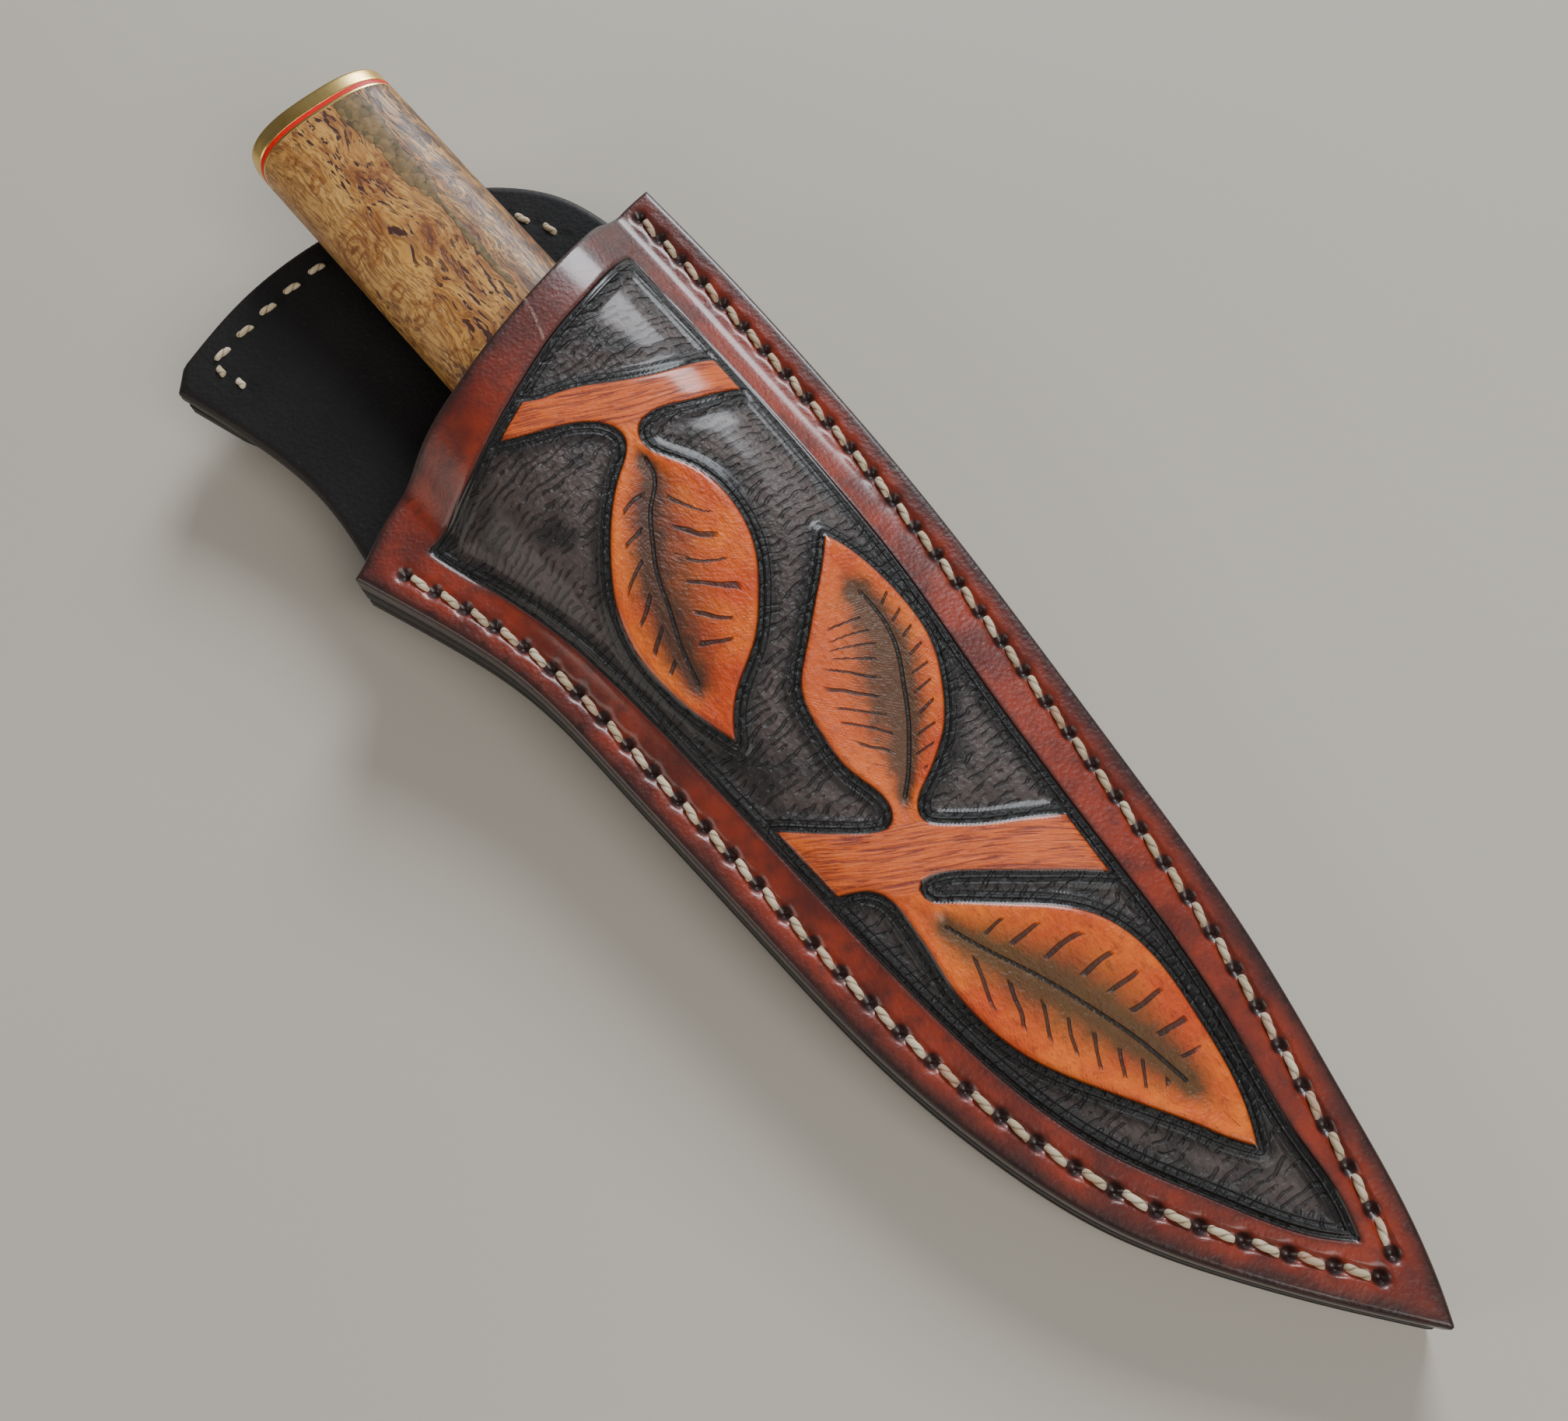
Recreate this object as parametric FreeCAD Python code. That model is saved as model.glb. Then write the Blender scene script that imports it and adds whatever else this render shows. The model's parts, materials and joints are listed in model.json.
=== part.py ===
"""A hand-made hunting knife in its carved leather sheath, one STEP file per physical piece.

Everything is drawn in the sheath's own frame first: X across the sheath towards its spine side,
Y from the tip towards the butt, Z out of the back face, with the sheath's tip at the origin.
The knife has a frame of its own, placed in the pocket by seat_knife(). At the end lay_down()
tips the whole assembly until it rests on a table on its tip and on its belt loop.
"""
import FreeCAD
import Part
import math
import os

V = FreeCAD.Vector

# --- leather sheath ---------------------------------------------------------------------------
LEATHER = 3.2            # thickness of the front and back panels
WELT = 4.0               # thickness of the strips sewn between the panels
WELT_WIDTH = 8.5
BELLY_EDGE = [(0, 0), (-7, 9), (-15.5, 21), (-23.5, 35), (-28.5, 50), (-31.8, 67),
              (-33.9, 99), (-35, 125), (-36.8, 147), (-41, 162), (-46, 176)]
SPINE_EDGE = [(0, 0), (3.2, 6), (10.3, 27), (16.4, 50), (21.1, 77.5), (25, 104.5),
              (28, 128), (30.4, 158), (31.6, 185), (31.8, 203.5)]
MOUTH_EDGE = [(-43.6, 177.2), (-35.3, 181.9), (-28.5, 184.2), (-17.2, 186.6), (-9.8, 188.9),
              (-0.4, 191.7), (8, 194.2), (15.1, 197.2), (23.1, 201.8), (31.8, 203.5)]
FLAP_BELLY_SIDE = [(-43.2, 178), (-41.8, 198), (-43.9, 211), (-48.9, 228.6)]
FLAP_TOP = [(-45.6, 232.4), (-31, 237.2), (-14.3, 238.6), (2, 235.5), (14.3, 228.3),
            (22.8, 217.9), (26.3, 203)]
WELT_SPLIT_X = -0.5      # the two welts butt together here, above the tip
TOP = LEATHER + WELT + LEATHER

# The pocket's arch over the knife: (y, centre x, half width, rise of the ceiling).
ARCH_STATIONS = [(8, -1.5, 6, 0.1), (24, -3.6, 8, 0.2), (40, -5.6, 11, 0.8), (60, -5.6, 16, 2.2),
                 (81, -5.6, 18.3, 2.8), (102, -4.8, 20.2, 3.8), (120, -4.2, 21.7, 5.6),
                 (138, -4.0, 22.6, 7.7), (156, -4.1, 23.5, 9.0), (176, -4.0, 24.3, 10.2),
                 (198, -4.0, 25.0, 11.4), (222, -4.0, 25.5, 12.6)]
ARCH_FULLNESS = 3.4      # exponent of the arch's cross-section, 2 is a parabola
ARCH_OVERLAP = 2.2       # how much wider the outside of the arch is than the inside
ARCH_LEAST_FALL = 3.0    # keeps the arch's foot well below the flange where the arch is low

# --- stitching --------------------------------------------------------------------------------
SEAM_INSET = 4.3
BELLY_SEAM_START = 8.0    # height over the tip where each seam starts, so that their holes stand apart
SPINE_SEAM_START = 11.0
STITCH_PITCH = 5.6
THREAD_R = 0.62
LEG_R = 0.5              # the thread is pulled thin inside the holes
RUN_SETBACK = 0.35       # a run starts this far from the middle of its hole
PROUD = 0.12             # height of a visible thread's centre over the leather
SUNK = -0.65             # the same where the thread lies in a groove

# --- belt loop --------------------------------------------------------------------------------
LOOP_LEATHER = 2.8
LOOP_GAP = 6.2           # room for the belt's thickness
LOOP_LOW, LOOP_HIGH = 142, 245
LOOP_SLOT = (158, 207)   # room for the belt's width
LOOP_RAMP = 6.5
LOOP_BEND_R = 2.5
LOOP_BELLY_SIDE = [(-45.2, 217), (-38, 200), (-34, 176), (-31, 142)]
LOOP_SPINE_SIDE = [(18, 142), (20.5, 176), (24.8, 213)]
LOOP_RETURN_SEAM = [(-39.3, 220.8), (-41.8, 229.2)]
LOOP_TOP_SEAM = [(-41.8, 229.2), (-23.6, 233.1), (-9, 233.4), (4, 229.5), (14.4, 219.6),
                 (18.2, 210.8)]
LOOP_LOW_SEAM = [(-27, 148.5), (14, 148.5)]

# --- knife, in its own frame: Y along the tang, guard face at 0 ----------------------------------
KNIFE_TILT = 1.9         # degrees between the knife and the sheath's back
GUARD_AT = (-2.3, 133.0, 8.58)
GUARD_LENGTH = 5.0
SHIM = 0.5
SPACER = 0.9
WOOD_END = 112.6
HANDLE_STATIONS = [(0, 12.5, 5.05), (30, 12.9, 5.95), (64, 13.2, 7.1), (92, 13.3, 7.45),
                   (112.6, 13.4, 7.5), (122, 13.4, 7.5)]
HANDLE_FULLNESS = 2.7    # exponent of the oval section, 2 is an ellipse
CAP_LENGTH = 4.2
CAP_DOME_R = 95.0
BLADE_SPINE = [(10.3, -4), (10.3, -51), (8.9, -73), (5.5, -91), (-1.2, -110)]
BLADE_BELLY = [(-20.6, -10), (-21.5, -43), (-19.7, -66), (-16.1, -83), (-10, -98), (-1.2, -110)]
BLADE_STOCK = 2.6
BLADE_EDGE = 0.24        # thickness left along the cutting edge
RICASSO = (-14.5, 10.3, -10)
TANG_WIDTH = 9.0
TANG_END = 98.0
TANG_ROD_R = 2.0
TANG_ROD_END = 117.0
BEDDING = 0.8            # epoxy between the tang and the wood
FILL_DEPTH = 2.0
FILL_SIDE_A = [(3.6, 64), (3.1, 76), (3.3, 87), (2.0, 92), (2.4, 100), (1.6, 106), (1.8, 112.6)]
FILL_SIDE_B = [(6.6, 112.6), (7.1, 104), (6.2, 99), (6.4, 92), (5.2, 86), (5.0, 75), (4.6, 64)]


def spline(points, z=0.0):
    """A smooth edge through plan points, all at height z."""
    curve = Part.BSplineCurve()
    curve.interpolate([V(x, y, z) for x, y in points])
    return curve.toShape()


def line(start, end, z=0.0):
    return Part.makeLine(V(start[0], start[1], z), V(end[0], end[1], z))


def prism(edges, bottom, top):
    """The solid between two heights over a closed chain of plan edges."""
    wire = Part.Wire(Part.__sortEdges__(edges))
    wire.translate(V(0, 0, bottom))
    return Part.Face(wire).extrude(V(0, 0, top - bottom))


def inset_points(edge, distance, count):
    """Points spaced evenly along a plan edge and moved sideways, to the left of its run."""
    points = []
    for point in edge.discretize(Number=count):
        along = edge.tangentAt(edge.Curve.parameter(point))
        points.append((point.x - along.y * distance, point.y + along.x * distance))
    return points


def union(shapes):
    return shapes[0].multiFuse(shapes[1:]).removeSplitter()


def write(shapes):
    """One STEP file per piece."""
    os.makedirs("parts", exist_ok=True)
    for name, shape in shapes.items():
        shape.exportStep("parts/" + name + ".step")
        print(name, len(shape.Solids), round(shape.Volume, 1), shape.isValid())


# --- sheath pieces ----------------------------------------------------------------------------

def sheath_outline():
    """Both long edges, the mouth's edge and the cut corner on the belly side."""
    return [spline(BELLY_EDGE), spline(SPINE_EDGE), spline(MOUTH_EDGE),
            line(BELLY_EDGE[-1], MOUTH_EDGE[0])]


def make_back_panel():
    """The back of the pocket, which runs on past the mouth as a flap behind the handle."""
    flap_edges = [spline(FLAP_BELLY_SIDE), line(FLAP_BELLY_SIDE[-1], FLAP_TOP[0]),
                  spline(FLAP_TOP), line(FLAP_TOP[-1], FLAP_BELLY_SIDE[0])]
    return union([prism(sheath_outline(), 0, LEATHER), prism(flap_edges, 0, LEATHER)])


def beside(edge_points, far_x):
    """A tall block on one side of a long edge, reaching out to far_x."""
    first, last = edge_points[0], edge_points[-1]
    edges = [spline(edge_points), line(last, (far_x, last[1])),
             line((far_x, last[1]), (far_x, first[1])), line((far_x, first[1]), first)]
    return prism(edges, 0, TOP)


def make_welts():
    """Two strips that keep the edge off the stitches: the outline less the pocket's room."""
    belly_inside = inset_points(spline(BELLY_EDGE), -WELT_WIDTH, 14)
    spine_inside = inset_points(spline(SPINE_EDGE), WELT_WIDTH, 14)
    past_mouth = 40
    belly_inside.append((belly_inside[-1][0], belly_inside[-1][1] + past_mouth))
    spine_inside.append((spine_inside[-1][0], spine_inside[-1][1] + past_mouth))
    pocket = beside(belly_inside, 90).common(beside(spine_inside, -90))
    ring = prism(sheath_outline(), LEATHER, LEATHER + WELT).cut(pocket)
    left = Part.makeBox(100, 300, TOP, V(WELT_SPLIT_X - 100, -20, 0))
    return ring.common(left), ring.cut(left)


def under_arch(base, widening):
    """The block under the arch: height falls off from the middle as a power of the distance."""
    steps = 24
    reach = 1.3
    rows = []
    for y, centre, half_width, rise in ARCH_STATIONS:
        fall = max(rise, ARCH_LEAST_FALL)
        row = []
        for step in range(steps + 1):
            s = reach * (2 * step / steps - 1)
            x = centre + s * (half_width + widening)
            row.append(V(x, y, base + rise - fall * abs(s) ** ARCH_FULLNESS))
        rows.append(row)
    surface = Part.BSplineSurface()
    surface.interpolate(rows)
    return surface.toShape().extrude(V(0, 0, -2 * TOP))


def make_front_panel():
    """A flat flange round an arch that was wet-moulded over the knife."""
    base = LEATHER + WELT
    headroom = 3 * TOP
    arch = under_arch(TOP, ARCH_OVERLAP).common(prism(sheath_outline(), base, headroom))
    shell = union([prism(sheath_outline(), base, TOP), arch])
    return shell.cut(under_arch(base, 0))


def make_belt_loop():
    """A strap sewn to the back at both ends and arched between them, with rounded bends."""
    low, high = LOOP_SLOT
    drop = LOOP_GAP + LOOP_LEATHER
    slope = LOOP_LEATHER * math.tan(math.atan2(LOOP_GAP, LOOP_RAMP) / 2)
    inner = [(LOOP_LOW, 0), (low, 0), (low + LOOP_RAMP, -LOOP_GAP),
             (high - LOOP_RAMP, -LOOP_GAP), (high, 0), (LOOP_HIGH, 0)]
    outer = [(LOOP_HIGH, -LOOP_LEATHER), (high + slope, -LOOP_LEATHER),
             (high - LOOP_RAMP + slope, -drop), (low + LOOP_RAMP - slope, -drop),
             (low - slope, -LOOP_LEATHER), (LOOP_LOW, -LOOP_LEATHER)]
    half_reach = 60
    profile = [V(-half_reach, y, z) for y, z in inner + outer]
    strap = Part.Face(Part.makePolygon(profile + profile[:1])).extrude(V(2 * half_reach, 0, 0))
    bends = [edge for edge in strap.Edges
             if edge.Length > half_reach and low - 5 < edge.CenterOfMass.y < high + 5]
    strap = strap.makeFillet(LOOP_BEND_R, bends)
    sides = [spline(LOOP_BELLY_SIDE), line(LOOP_BELLY_SIDE[-1], LOOP_SPINE_SIDE[0]),
             spline(LOOP_SPINE_SIDE), line(LOOP_SPINE_SIDE[-1], (30, 250)),
             line((30, 250), (-60, 250)), line((-60, 250), LOOP_BELLY_SIDE[0])]
    flap_and_below = prism([spline(FLAP_TOP), line(FLAP_TOP[-1], (40, 100)),
                            line((40, 100), (-60, 100)), line((-60, 100), (-48.9, 228.6)),
                            line((-48.9, 228.6), FLAP_TOP[0])], -20, 5)
    return strap.common(prism(sides, -20, 5)).common(flap_and_below)


# --- stitching --------------------------------------------------------------------------------

def stitch_row(path, front, back, front_lie, back_lie):
    """A saddle-stitched row: a leg through each awl hole, and a run between holes on both faces."""
    count = max(2, round(path.Length / STITCH_PITCH) + 1)
    holes = path.discretize(Number=count)
    lowest = back + back_lie
    legs_height = front + front_lie - lowest
    solids = [Part.makeCylinder(LEG_R, legs_height, V(hole.x, hole.y, lowest)) for hole in holes]
    for start, end in zip(holes, holes[1:]):
        way = V(end.x - start.x, end.y - start.y, 0)
        step = V(way).normalize()
        begin = start + step * RUN_SETBACK
        for height in (front + front_lie, lowest):
            foot = V(begin.x, begin.y, height)
            solids.append(Part.makeCylinder(THREAD_R, way.Length - 2 * RUN_SETBACK, foot, step))
    return solids


def seam_path(edge_points, side, tip_rise):
    """The seam's line, a fixed distance in from one long edge, from above the tip to the mouth."""
    inside = inset_points(spline(edge_points), side * SEAM_INSET, 60)
    mouth_margin = 3.0
    last_y = edge_points[-1][1] - mouth_margin
    return spline([p for p in inside if tip_rise < p[1] < last_y])


def make_threads():
    sewn = {}
    belly_seam = seam_path(BELLY_EDGE, -1, BELLY_SEAM_START)
    spine_seam = seam_path(SPINE_EDGE, 1, SPINE_SEAM_START)
    sewn["belly_seam_thread"] = stitch_row(belly_seam, TOP, 0, PROUD, -SUNK)
    sewn["spine_seam_thread"] = stitch_row(spine_seam, TOP, 0, PROUD, -SUNK)
    top_row = stitch_row(spline(LOOP_TOP_SEAM), LEATHER, -LOOP_LEATHER, PROUD, -PROUD)
    side_row = stitch_row(line(*LOOP_RETURN_SEAM), LEATHER, -LOOP_LEATHER, PROUD, -PROUD)
    sewn["loop_top_thread"] = top_row + side_row
    sewn["loop_low_thread"] = stitch_row(line(*LOOP_LOW_SEAM), LEATHER, -LOOP_LEATHER, SUNK, -PROUD)
    return {name: union(solids) for name, solids in sewn.items()}


# --- knife pieces, in the knife's frame -------------------------------------------------------

def oval(y, half_width, half_depth):
    """A closed superelliptic section across the handle at y."""
    count = 28
    curve = Part.BSplineCurve()
    points = []
    for step in range(count):
        angle = 2 * math.pi * step / count
        c, s = math.cos(angle), math.sin(angle)
        x = half_width * math.copysign(abs(c) ** (2 / HANDLE_FULLNESS), c)
        z = half_depth * math.copysign(abs(s) ** (2 / HANDLE_FULLNESS), s)
        points.append(V(x, y, z))
    curve.interpolate(Points=points, PeriodicFlag=True)
    return Part.Wire(curve.toShape())


def handle_form():
    """The outside of the whole handle, from the guard's face to past the butt."""
    return Part.makeLoft([oval(*station) for station in HANDLE_STATIONS], True, False)


def slab(start, end):
    """Everything between two stations along the handle."""
    return Part.makeBox(60, end - start, 60, V(-30, start, -30))


def tang_hole(clearance, end):
    """A rectangular hole round the tang, open at the guard."""
    width = TANG_WIDTH + 2 * clearance
    depth = BLADE_STOCK + 2 * clearance
    return Part.makeBox(width, end + 1, depth, V(-width / 2, -1, -depth / 2))


def rod_hole(radius, end):
    return Part.makeCylinder(radius, end, V(0, 0, 0), V(0, 1, 0))


def make_blade():
    """A flat-ground drop-point blade, full thickness along the spine, with its tang."""
    def edge_at(points, heights):
        curve = Part.BSplineCurve()
        curve.interpolate([V(x, y, z) for (x, y), z in zip(points, heights)])
        return curve.toShape()

    spine_heights = [BLADE_STOCK / 2 * k for k in (1, 1, 0.9, 0.68)] + [BLADE_EDGE / 2]
    belly_heights = [BLADE_EDGE / 2] * len(BLADE_BELLY)
    upper = [edge_at(BLADE_SPINE, spine_heights), edge_at(BLADE_BELLY, belly_heights)]
    lower = [edge_at(BLADE_SPINE, [-z for z in spine_heights]),
             edge_at(BLADE_BELLY, [-z for z in belly_heights])]
    faces = [Part.makeRuledSurface(upper[0], upper[1]), Part.makeRuledSurface(lower[0], lower[1]),
             Part.makeRuledSurface(upper[0], lower[0]), Part.makeRuledSurface(upper[1], lower[1])]
    corners = [upper[0], upper[1], lower[1], lower[0]]
    heel = [edge.valueAt(edge.FirstParameter) for edge in corners]
    faces.append(Part.Face(Part.makePolygon(heel + heel[:1])))
    shell = Part.makeCompound(faces)
    shell.sewShape()
    ground = Part.Solid(shell.Shells[0])
    if ground.Volume < 0:
        ground.reverse()
    heel_x, back_x, low_y = RICASSO
    half = BLADE_STOCK / 2
    ricasso = Part.makeBox(back_x - heel_x, -low_y, BLADE_STOCK, V(heel_x, low_y, -half))
    tang = Part.makeBox(TANG_WIDTH, TANG_END, BLADE_STOCK, V(-TANG_WIDTH / 2, 0, -half))
    rod = Part.makeCylinder(TANG_ROD_R, TANG_ROD_END - TANG_END + 6, V(0, TANG_END - 6, 0), V(0, 1, 0))
    return union([ground, ricasso, tang, rod])


def make_crack_fill():
    """Stone-filled epoxy poured into a natural crack along the top of the wood."""
    start_a, end_a = FILL_SIDE_A[0], FILL_SIDE_A[-1]
    start_b, end_b = FILL_SIDE_B[0], FILL_SIDE_B[-1]
    edges = [spline(FILL_SIDE_A), line(end_a, start_b), spline(FILL_SIDE_B), line(end_b, start_a)]
    half_depth = HANDLE_STATIONS[-1][2]
    return prism(edges, half_depth - FILL_DEPTH, 2 * half_depth)


def make_knife():
    form = handle_form()
    pieces = {"blade": make_blade()}
    wood_start = GUARD_LENGTH + SPACER + SHIM
    guard = form.common(slab(0, GUARD_LENGTH))
    pieces["guard"] = guard.cut(tang_hole(0, GUARD_LENGTH))
    front_spacer = form.common(slab(GUARD_LENGTH, GUARD_LENGTH + SPACER))
    pieces["guard_spacer"] = front_spacer.cut(tang_hole(0, wood_start))
    front_shim = form.common(slab(GUARD_LENGTH + SPACER, wood_start))
    pieces["guard_shim"] = front_shim.cut(tang_hole(0, wood_start))

    wood = form.common(slab(wood_start, WOOD_END))
    fill = wood.common(make_crack_fill())
    wood = wood.cut(fill).cut(tang_hole(BEDDING, TANG_END)).cut(rod_hole(TANG_ROD_R, WOOD_END + 1))
    pieces["handle_block"] = wood
    pieces["crack_fill"] = fill
    bedding = tang_hole(BEDDING, TANG_END).common(slab(wood_start, TANG_END))
    pieces["tang_bedding"] = bedding.cut(pieces["blade"])

    shim_end = WOOD_END + SHIM
    spacer_end = shim_end + SPACER
    cap_end = spacer_end + CAP_LENGTH
    bore = rod_hole(TANG_ROD_R, TANG_ROD_END)
    pieces["butt_shim"] = form.common(slab(WOOD_END, shim_end)).cut(bore)
    pieces["butt_spacer"] = form.common(slab(shim_end, spacer_end)).cut(bore)
    dome = Part.makeSphere(CAP_DOME_R, V(0, cap_end - CAP_DOME_R, 0))
    cap = form.common(slab(spacer_end, cap_end + 1)).common(dome)
    rim = [edge for edge in cap.Edges if edge.CenterOfMass.y > spacer_end + 2]
    cap = cap.makeFillet(1.2, rim)
    pieces["butt_cap"] = cap.cut(bore)
    return pieces


def seat_knife(shape):
    """Puts a piece of the knife at home in the pocket."""
    placed = shape.copy()
    placed.rotate(V(0, 0, 0), V(1, 0, 0), KNIFE_TILT)
    placed.translate(V(*GUARD_AT))
    return placed


# --- the assembly -----------------------------------------------------------------------------

def resting_angle(belt_loop):
    """The slope, in degrees, of the table under the tip and the lowest bend of the belt loop."""
    points = belt_loop.tessellate(0.01)[0]
    return math.degrees(max(math.atan2(-p.z, p.y) for p in points))


def lay_down(pieces):
    """Tips the assembly onto the table and centres it over the origin."""
    tilt = resting_angle(pieces["belt_loop"])
    for shape in pieces.values():
        shape.rotate(V(0, 0, 0), V(1, 0, 0), tilt)
    box = Part.makeCompound(list(pieces.values())).optimalBoundingBox(True, False)
    offset = V(-box.Center.x, -box.Center.y, -box.ZMin)
    for shape in pieces.values():
        shape.translate(offset)
    print("tilt", round(tilt, 4), "tip at", offset)
    print("size", round(box.XLength, 2), round(box.YLength, 2), round(box.ZLength, 2))


def main():
    pieces = {"front_panel": make_front_panel(), "back_panel": make_back_panel()}
    pieces["belly_welt"], pieces["spine_welt"] = make_welts()
    pieces["belt_loop"] = make_belt_loop()
    pieces.update(make_threads())
    for name, shape in make_knife().items():
        pieces[name] = seat_knife(shape)
    lay_down(pieces)
    write(pieces)


main()
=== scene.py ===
"""A fixed-blade hunting knife in a hand-carved leather sheath: its looks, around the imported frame.

The sheath is drawn in millimetres, X to its spine side, Y from its tip, Z out of its carved face,
and the knife in its own, Y up the tang from the guard. lay() and seat() turn both to the frame.
"""

import json

import bpy
import numpy as np
from mathutils import Matrix


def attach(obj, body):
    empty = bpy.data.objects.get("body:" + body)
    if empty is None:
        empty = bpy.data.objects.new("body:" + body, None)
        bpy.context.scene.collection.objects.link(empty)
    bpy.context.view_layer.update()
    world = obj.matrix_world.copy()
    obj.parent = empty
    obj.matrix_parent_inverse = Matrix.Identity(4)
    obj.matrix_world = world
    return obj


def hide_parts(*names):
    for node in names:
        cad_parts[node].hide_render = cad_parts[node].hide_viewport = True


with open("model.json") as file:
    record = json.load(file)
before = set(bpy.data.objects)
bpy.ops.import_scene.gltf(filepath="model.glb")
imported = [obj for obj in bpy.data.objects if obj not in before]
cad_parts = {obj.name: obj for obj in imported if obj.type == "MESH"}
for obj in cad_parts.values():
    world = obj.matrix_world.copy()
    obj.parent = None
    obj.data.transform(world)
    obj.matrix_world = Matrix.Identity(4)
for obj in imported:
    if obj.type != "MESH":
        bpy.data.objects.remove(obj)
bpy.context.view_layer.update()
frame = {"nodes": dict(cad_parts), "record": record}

# --- front_panel -----------------------------------------------------------
# The sheath's face: 3.2 mm of vegetable-tanned leather, wet-moulded over the knife, cut with a
# knife and bevelled down round three leaves on two branches, dyed, antiqued and lacquered.

LEATHER = 3.2
WELT = 4.0
FLANGE = 2 * LEATHER + WELT     # height of the sewn edge
RIM_ROUNDING = 0.8
BELLY_EDGE = [(0, 0), (-7, 9), (-15.5, 21), (-23.5, 35), (-28.5, 50), (-31.8, 67),
              (-33.9, 99), (-35, 125), (-36.8, 147), (-41, 162), (-46, 176)]
SPINE_EDGE = [(0, 0), (3.2, 6), (10.3, 27), (16.4, 50), (21.1, 77.5), (25, 104.5),
              (28, 128), (30.4, 158), (31.6, 185), (31.8, 203.5)]
MOUTH_EDGE = [(-43.6, 177.2), (-35.3, 181.9), (-28.5, 184.2), (-17.2, 186.6), (-9.8, 188.9),
              (-0.4, 191.7), (8, 194.2), (15.1, 197.2), (23.1, 201.8), (31.8, 203.5)]
# along Y: the arch's middle, half its width inside, and its rise over the flange
ARCH = np.array([(8, -1.5, 6, 0.1), (24, -3.6, 8, 0.2), (40, -5.6, 11, 0.8), (60, -5.6, 16, 2.2),
                 (81, -5.6, 18.3, 2.8), (102, -4.8, 20.2, 3.8), (120, -4.2, 21.7, 5.6),
                 (138, -4.0, 22.6, 7.7), (156, -4.1, 23.5, 9.0), (176, -4.0, 24.3, 10.2),
                 (198, -4.0, 25.0, 11.4), (222, -4.0, 25.5, 12.6)])
ARCH_FULLNESS = 3.4
ARCH_OVERLAP = 2.2
ARCH_LEAST_FALL = 3.0
SEAM_INSET = 4.3
STITCH_PITCH = 5.6
BELLY_SEAM_START = 8.0
SPINE_SEAM_START = 11.0
SEAM_MOUTH_MARGIN = 3.0
BEAD = 1.2                      # width left standing between the border's two cuts
BUMP_UNIT = 0.001               # bump heights are in millimetres
FAR = 30                        # a distance past which a measure has no effect

loop_face = next(m for m in frame["record"]["mounts"] if m["name"] == "loop_back_face")
LOOP_FACE_AT = (-7, 182.5, -9.0)


def about_x(angle):
    """Turning by an angle about X, as a matrix."""
    return np.array([[1, 0, 0], [0, np.cos(angle), -np.sin(angle)], [0, np.sin(angle), np.cos(angle)]])


LAID = about_x(np.arctan2(loop_face["axis"][1], -loop_face["axis"][2]))
LAID_AT = np.array(loop_face["pos_m"]) - LAID @ np.array(LOOP_FACE_AT) / 1000


def lay(points):
    """Sheath's millimetres to the frame's metres: turned to rest on the loop, then moved."""
    return np.asarray(points, float) / 1000 @ LAID.T + LAID_AT


def spline(knots, values, places):
    """Cubic spline through values at knots: its second derivatives solve one linear system."""
    step = np.diff(knots)
    inner = np.arange(1, len(knots) - 1)
    system = np.eye(len(knots))
    system[inner, inner - 1] = step[:-1]
    system[inner, inner] = 2 * (step[:-1] + step[1:])
    system[inner, inner + 1] = step[1:]
    slope = np.diff(values, axis=0) / step[:, None]
    wanted = np.zeros_like(values)
    wanted[1:-1] = 6 * np.diff(slope, axis=0)
    bend = np.linalg.solve(system, wanted)
    k = np.clip(np.searchsorted(knots, places, "right") - 1, 0, len(knots) - 2)
    width = step[k][:, None]
    b = (places - knots[k])[:, None] / width
    a = 1 - b
    curved = ((a ** 3 - a) * bend[k] + (b ** 3 - b) * bend[k + 1]) * width ** 2 / 6
    return a * values[k] + b * values[k + 1] + curved


def along(line):
    """Length of a run of points up to each of them."""
    return np.concatenate([[0], np.cumsum(np.linalg.norm(np.diff(line, axis=0), axis=1))])


def at_lengths(line, lengths):
    """Points on a line at the given lengths along it."""
    so_far = along(line)
    return np.stack([np.interp(lengths, so_far, line[:, k]) for k in range(line.shape[1])], axis=-1)


def smooth_curve(points, count):
    """Evenly spaced points on the cubic spline through the given ones, by chord length."""
    points = np.asarray(points, float)
    chord = along(points)
    fine = spline(chord, points, np.linspace(0, chord[-1], 30 * len(points)))
    return at_lengths(fine, np.linspace(0, along(fine)[-1], count))


def join(*runs):
    """Several runs of points as one, end to end."""
    return np.vstack([np.asarray(run, float) for run in runs])


def nearest(points, line):
    """Distance from each point to a line of short runs, the length along it there, and the side."""
    best = np.full(len(points), 1e9)
    place = np.zeros(len(points))
    side = np.zeros(len(points))
    so_far = along(line)
    for start, end, begun in zip(line, line[1:], so_far):
        run = end - start
        length = np.hypot(*run)
        if length < 1e-9:
            continue
        off = points - start
        t = np.clip(off @ run / length ** 2, 0, 1)
        gap = np.hypot(off[:, 0] - t * run[0], off[:, 1] - t * run[1])
        closer = gap < best
        best[closer] = gap[closer]
        place[closer] = begun + t[closer] * length
        side[closer] = np.sign(run[0] * off[:, 1] - run[1] * off[:, 0])[closer]
    return best, place, side


def signed_distance(points, outline):
    """Distance to a closed outline, below 0 inside it, where a ray crosses it an odd number of times."""
    closed = np.vstack([outline, outline[:1]])
    gap = nearest(points, closed)[0]
    x, y = points.T
    inside = np.zeros(len(points), bool)
    for (x0, y0), (x1, y1) in zip(closed, closed[1:]):
        if y0 == y1:
            continue
        crosses = (y0 > y) != (y1 > y)
        inside ^= crosses & (x < x0 + (y - y0) * (x1 - x0) / (y1 - y0))
    return np.where(inside, -gap, gap)


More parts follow.
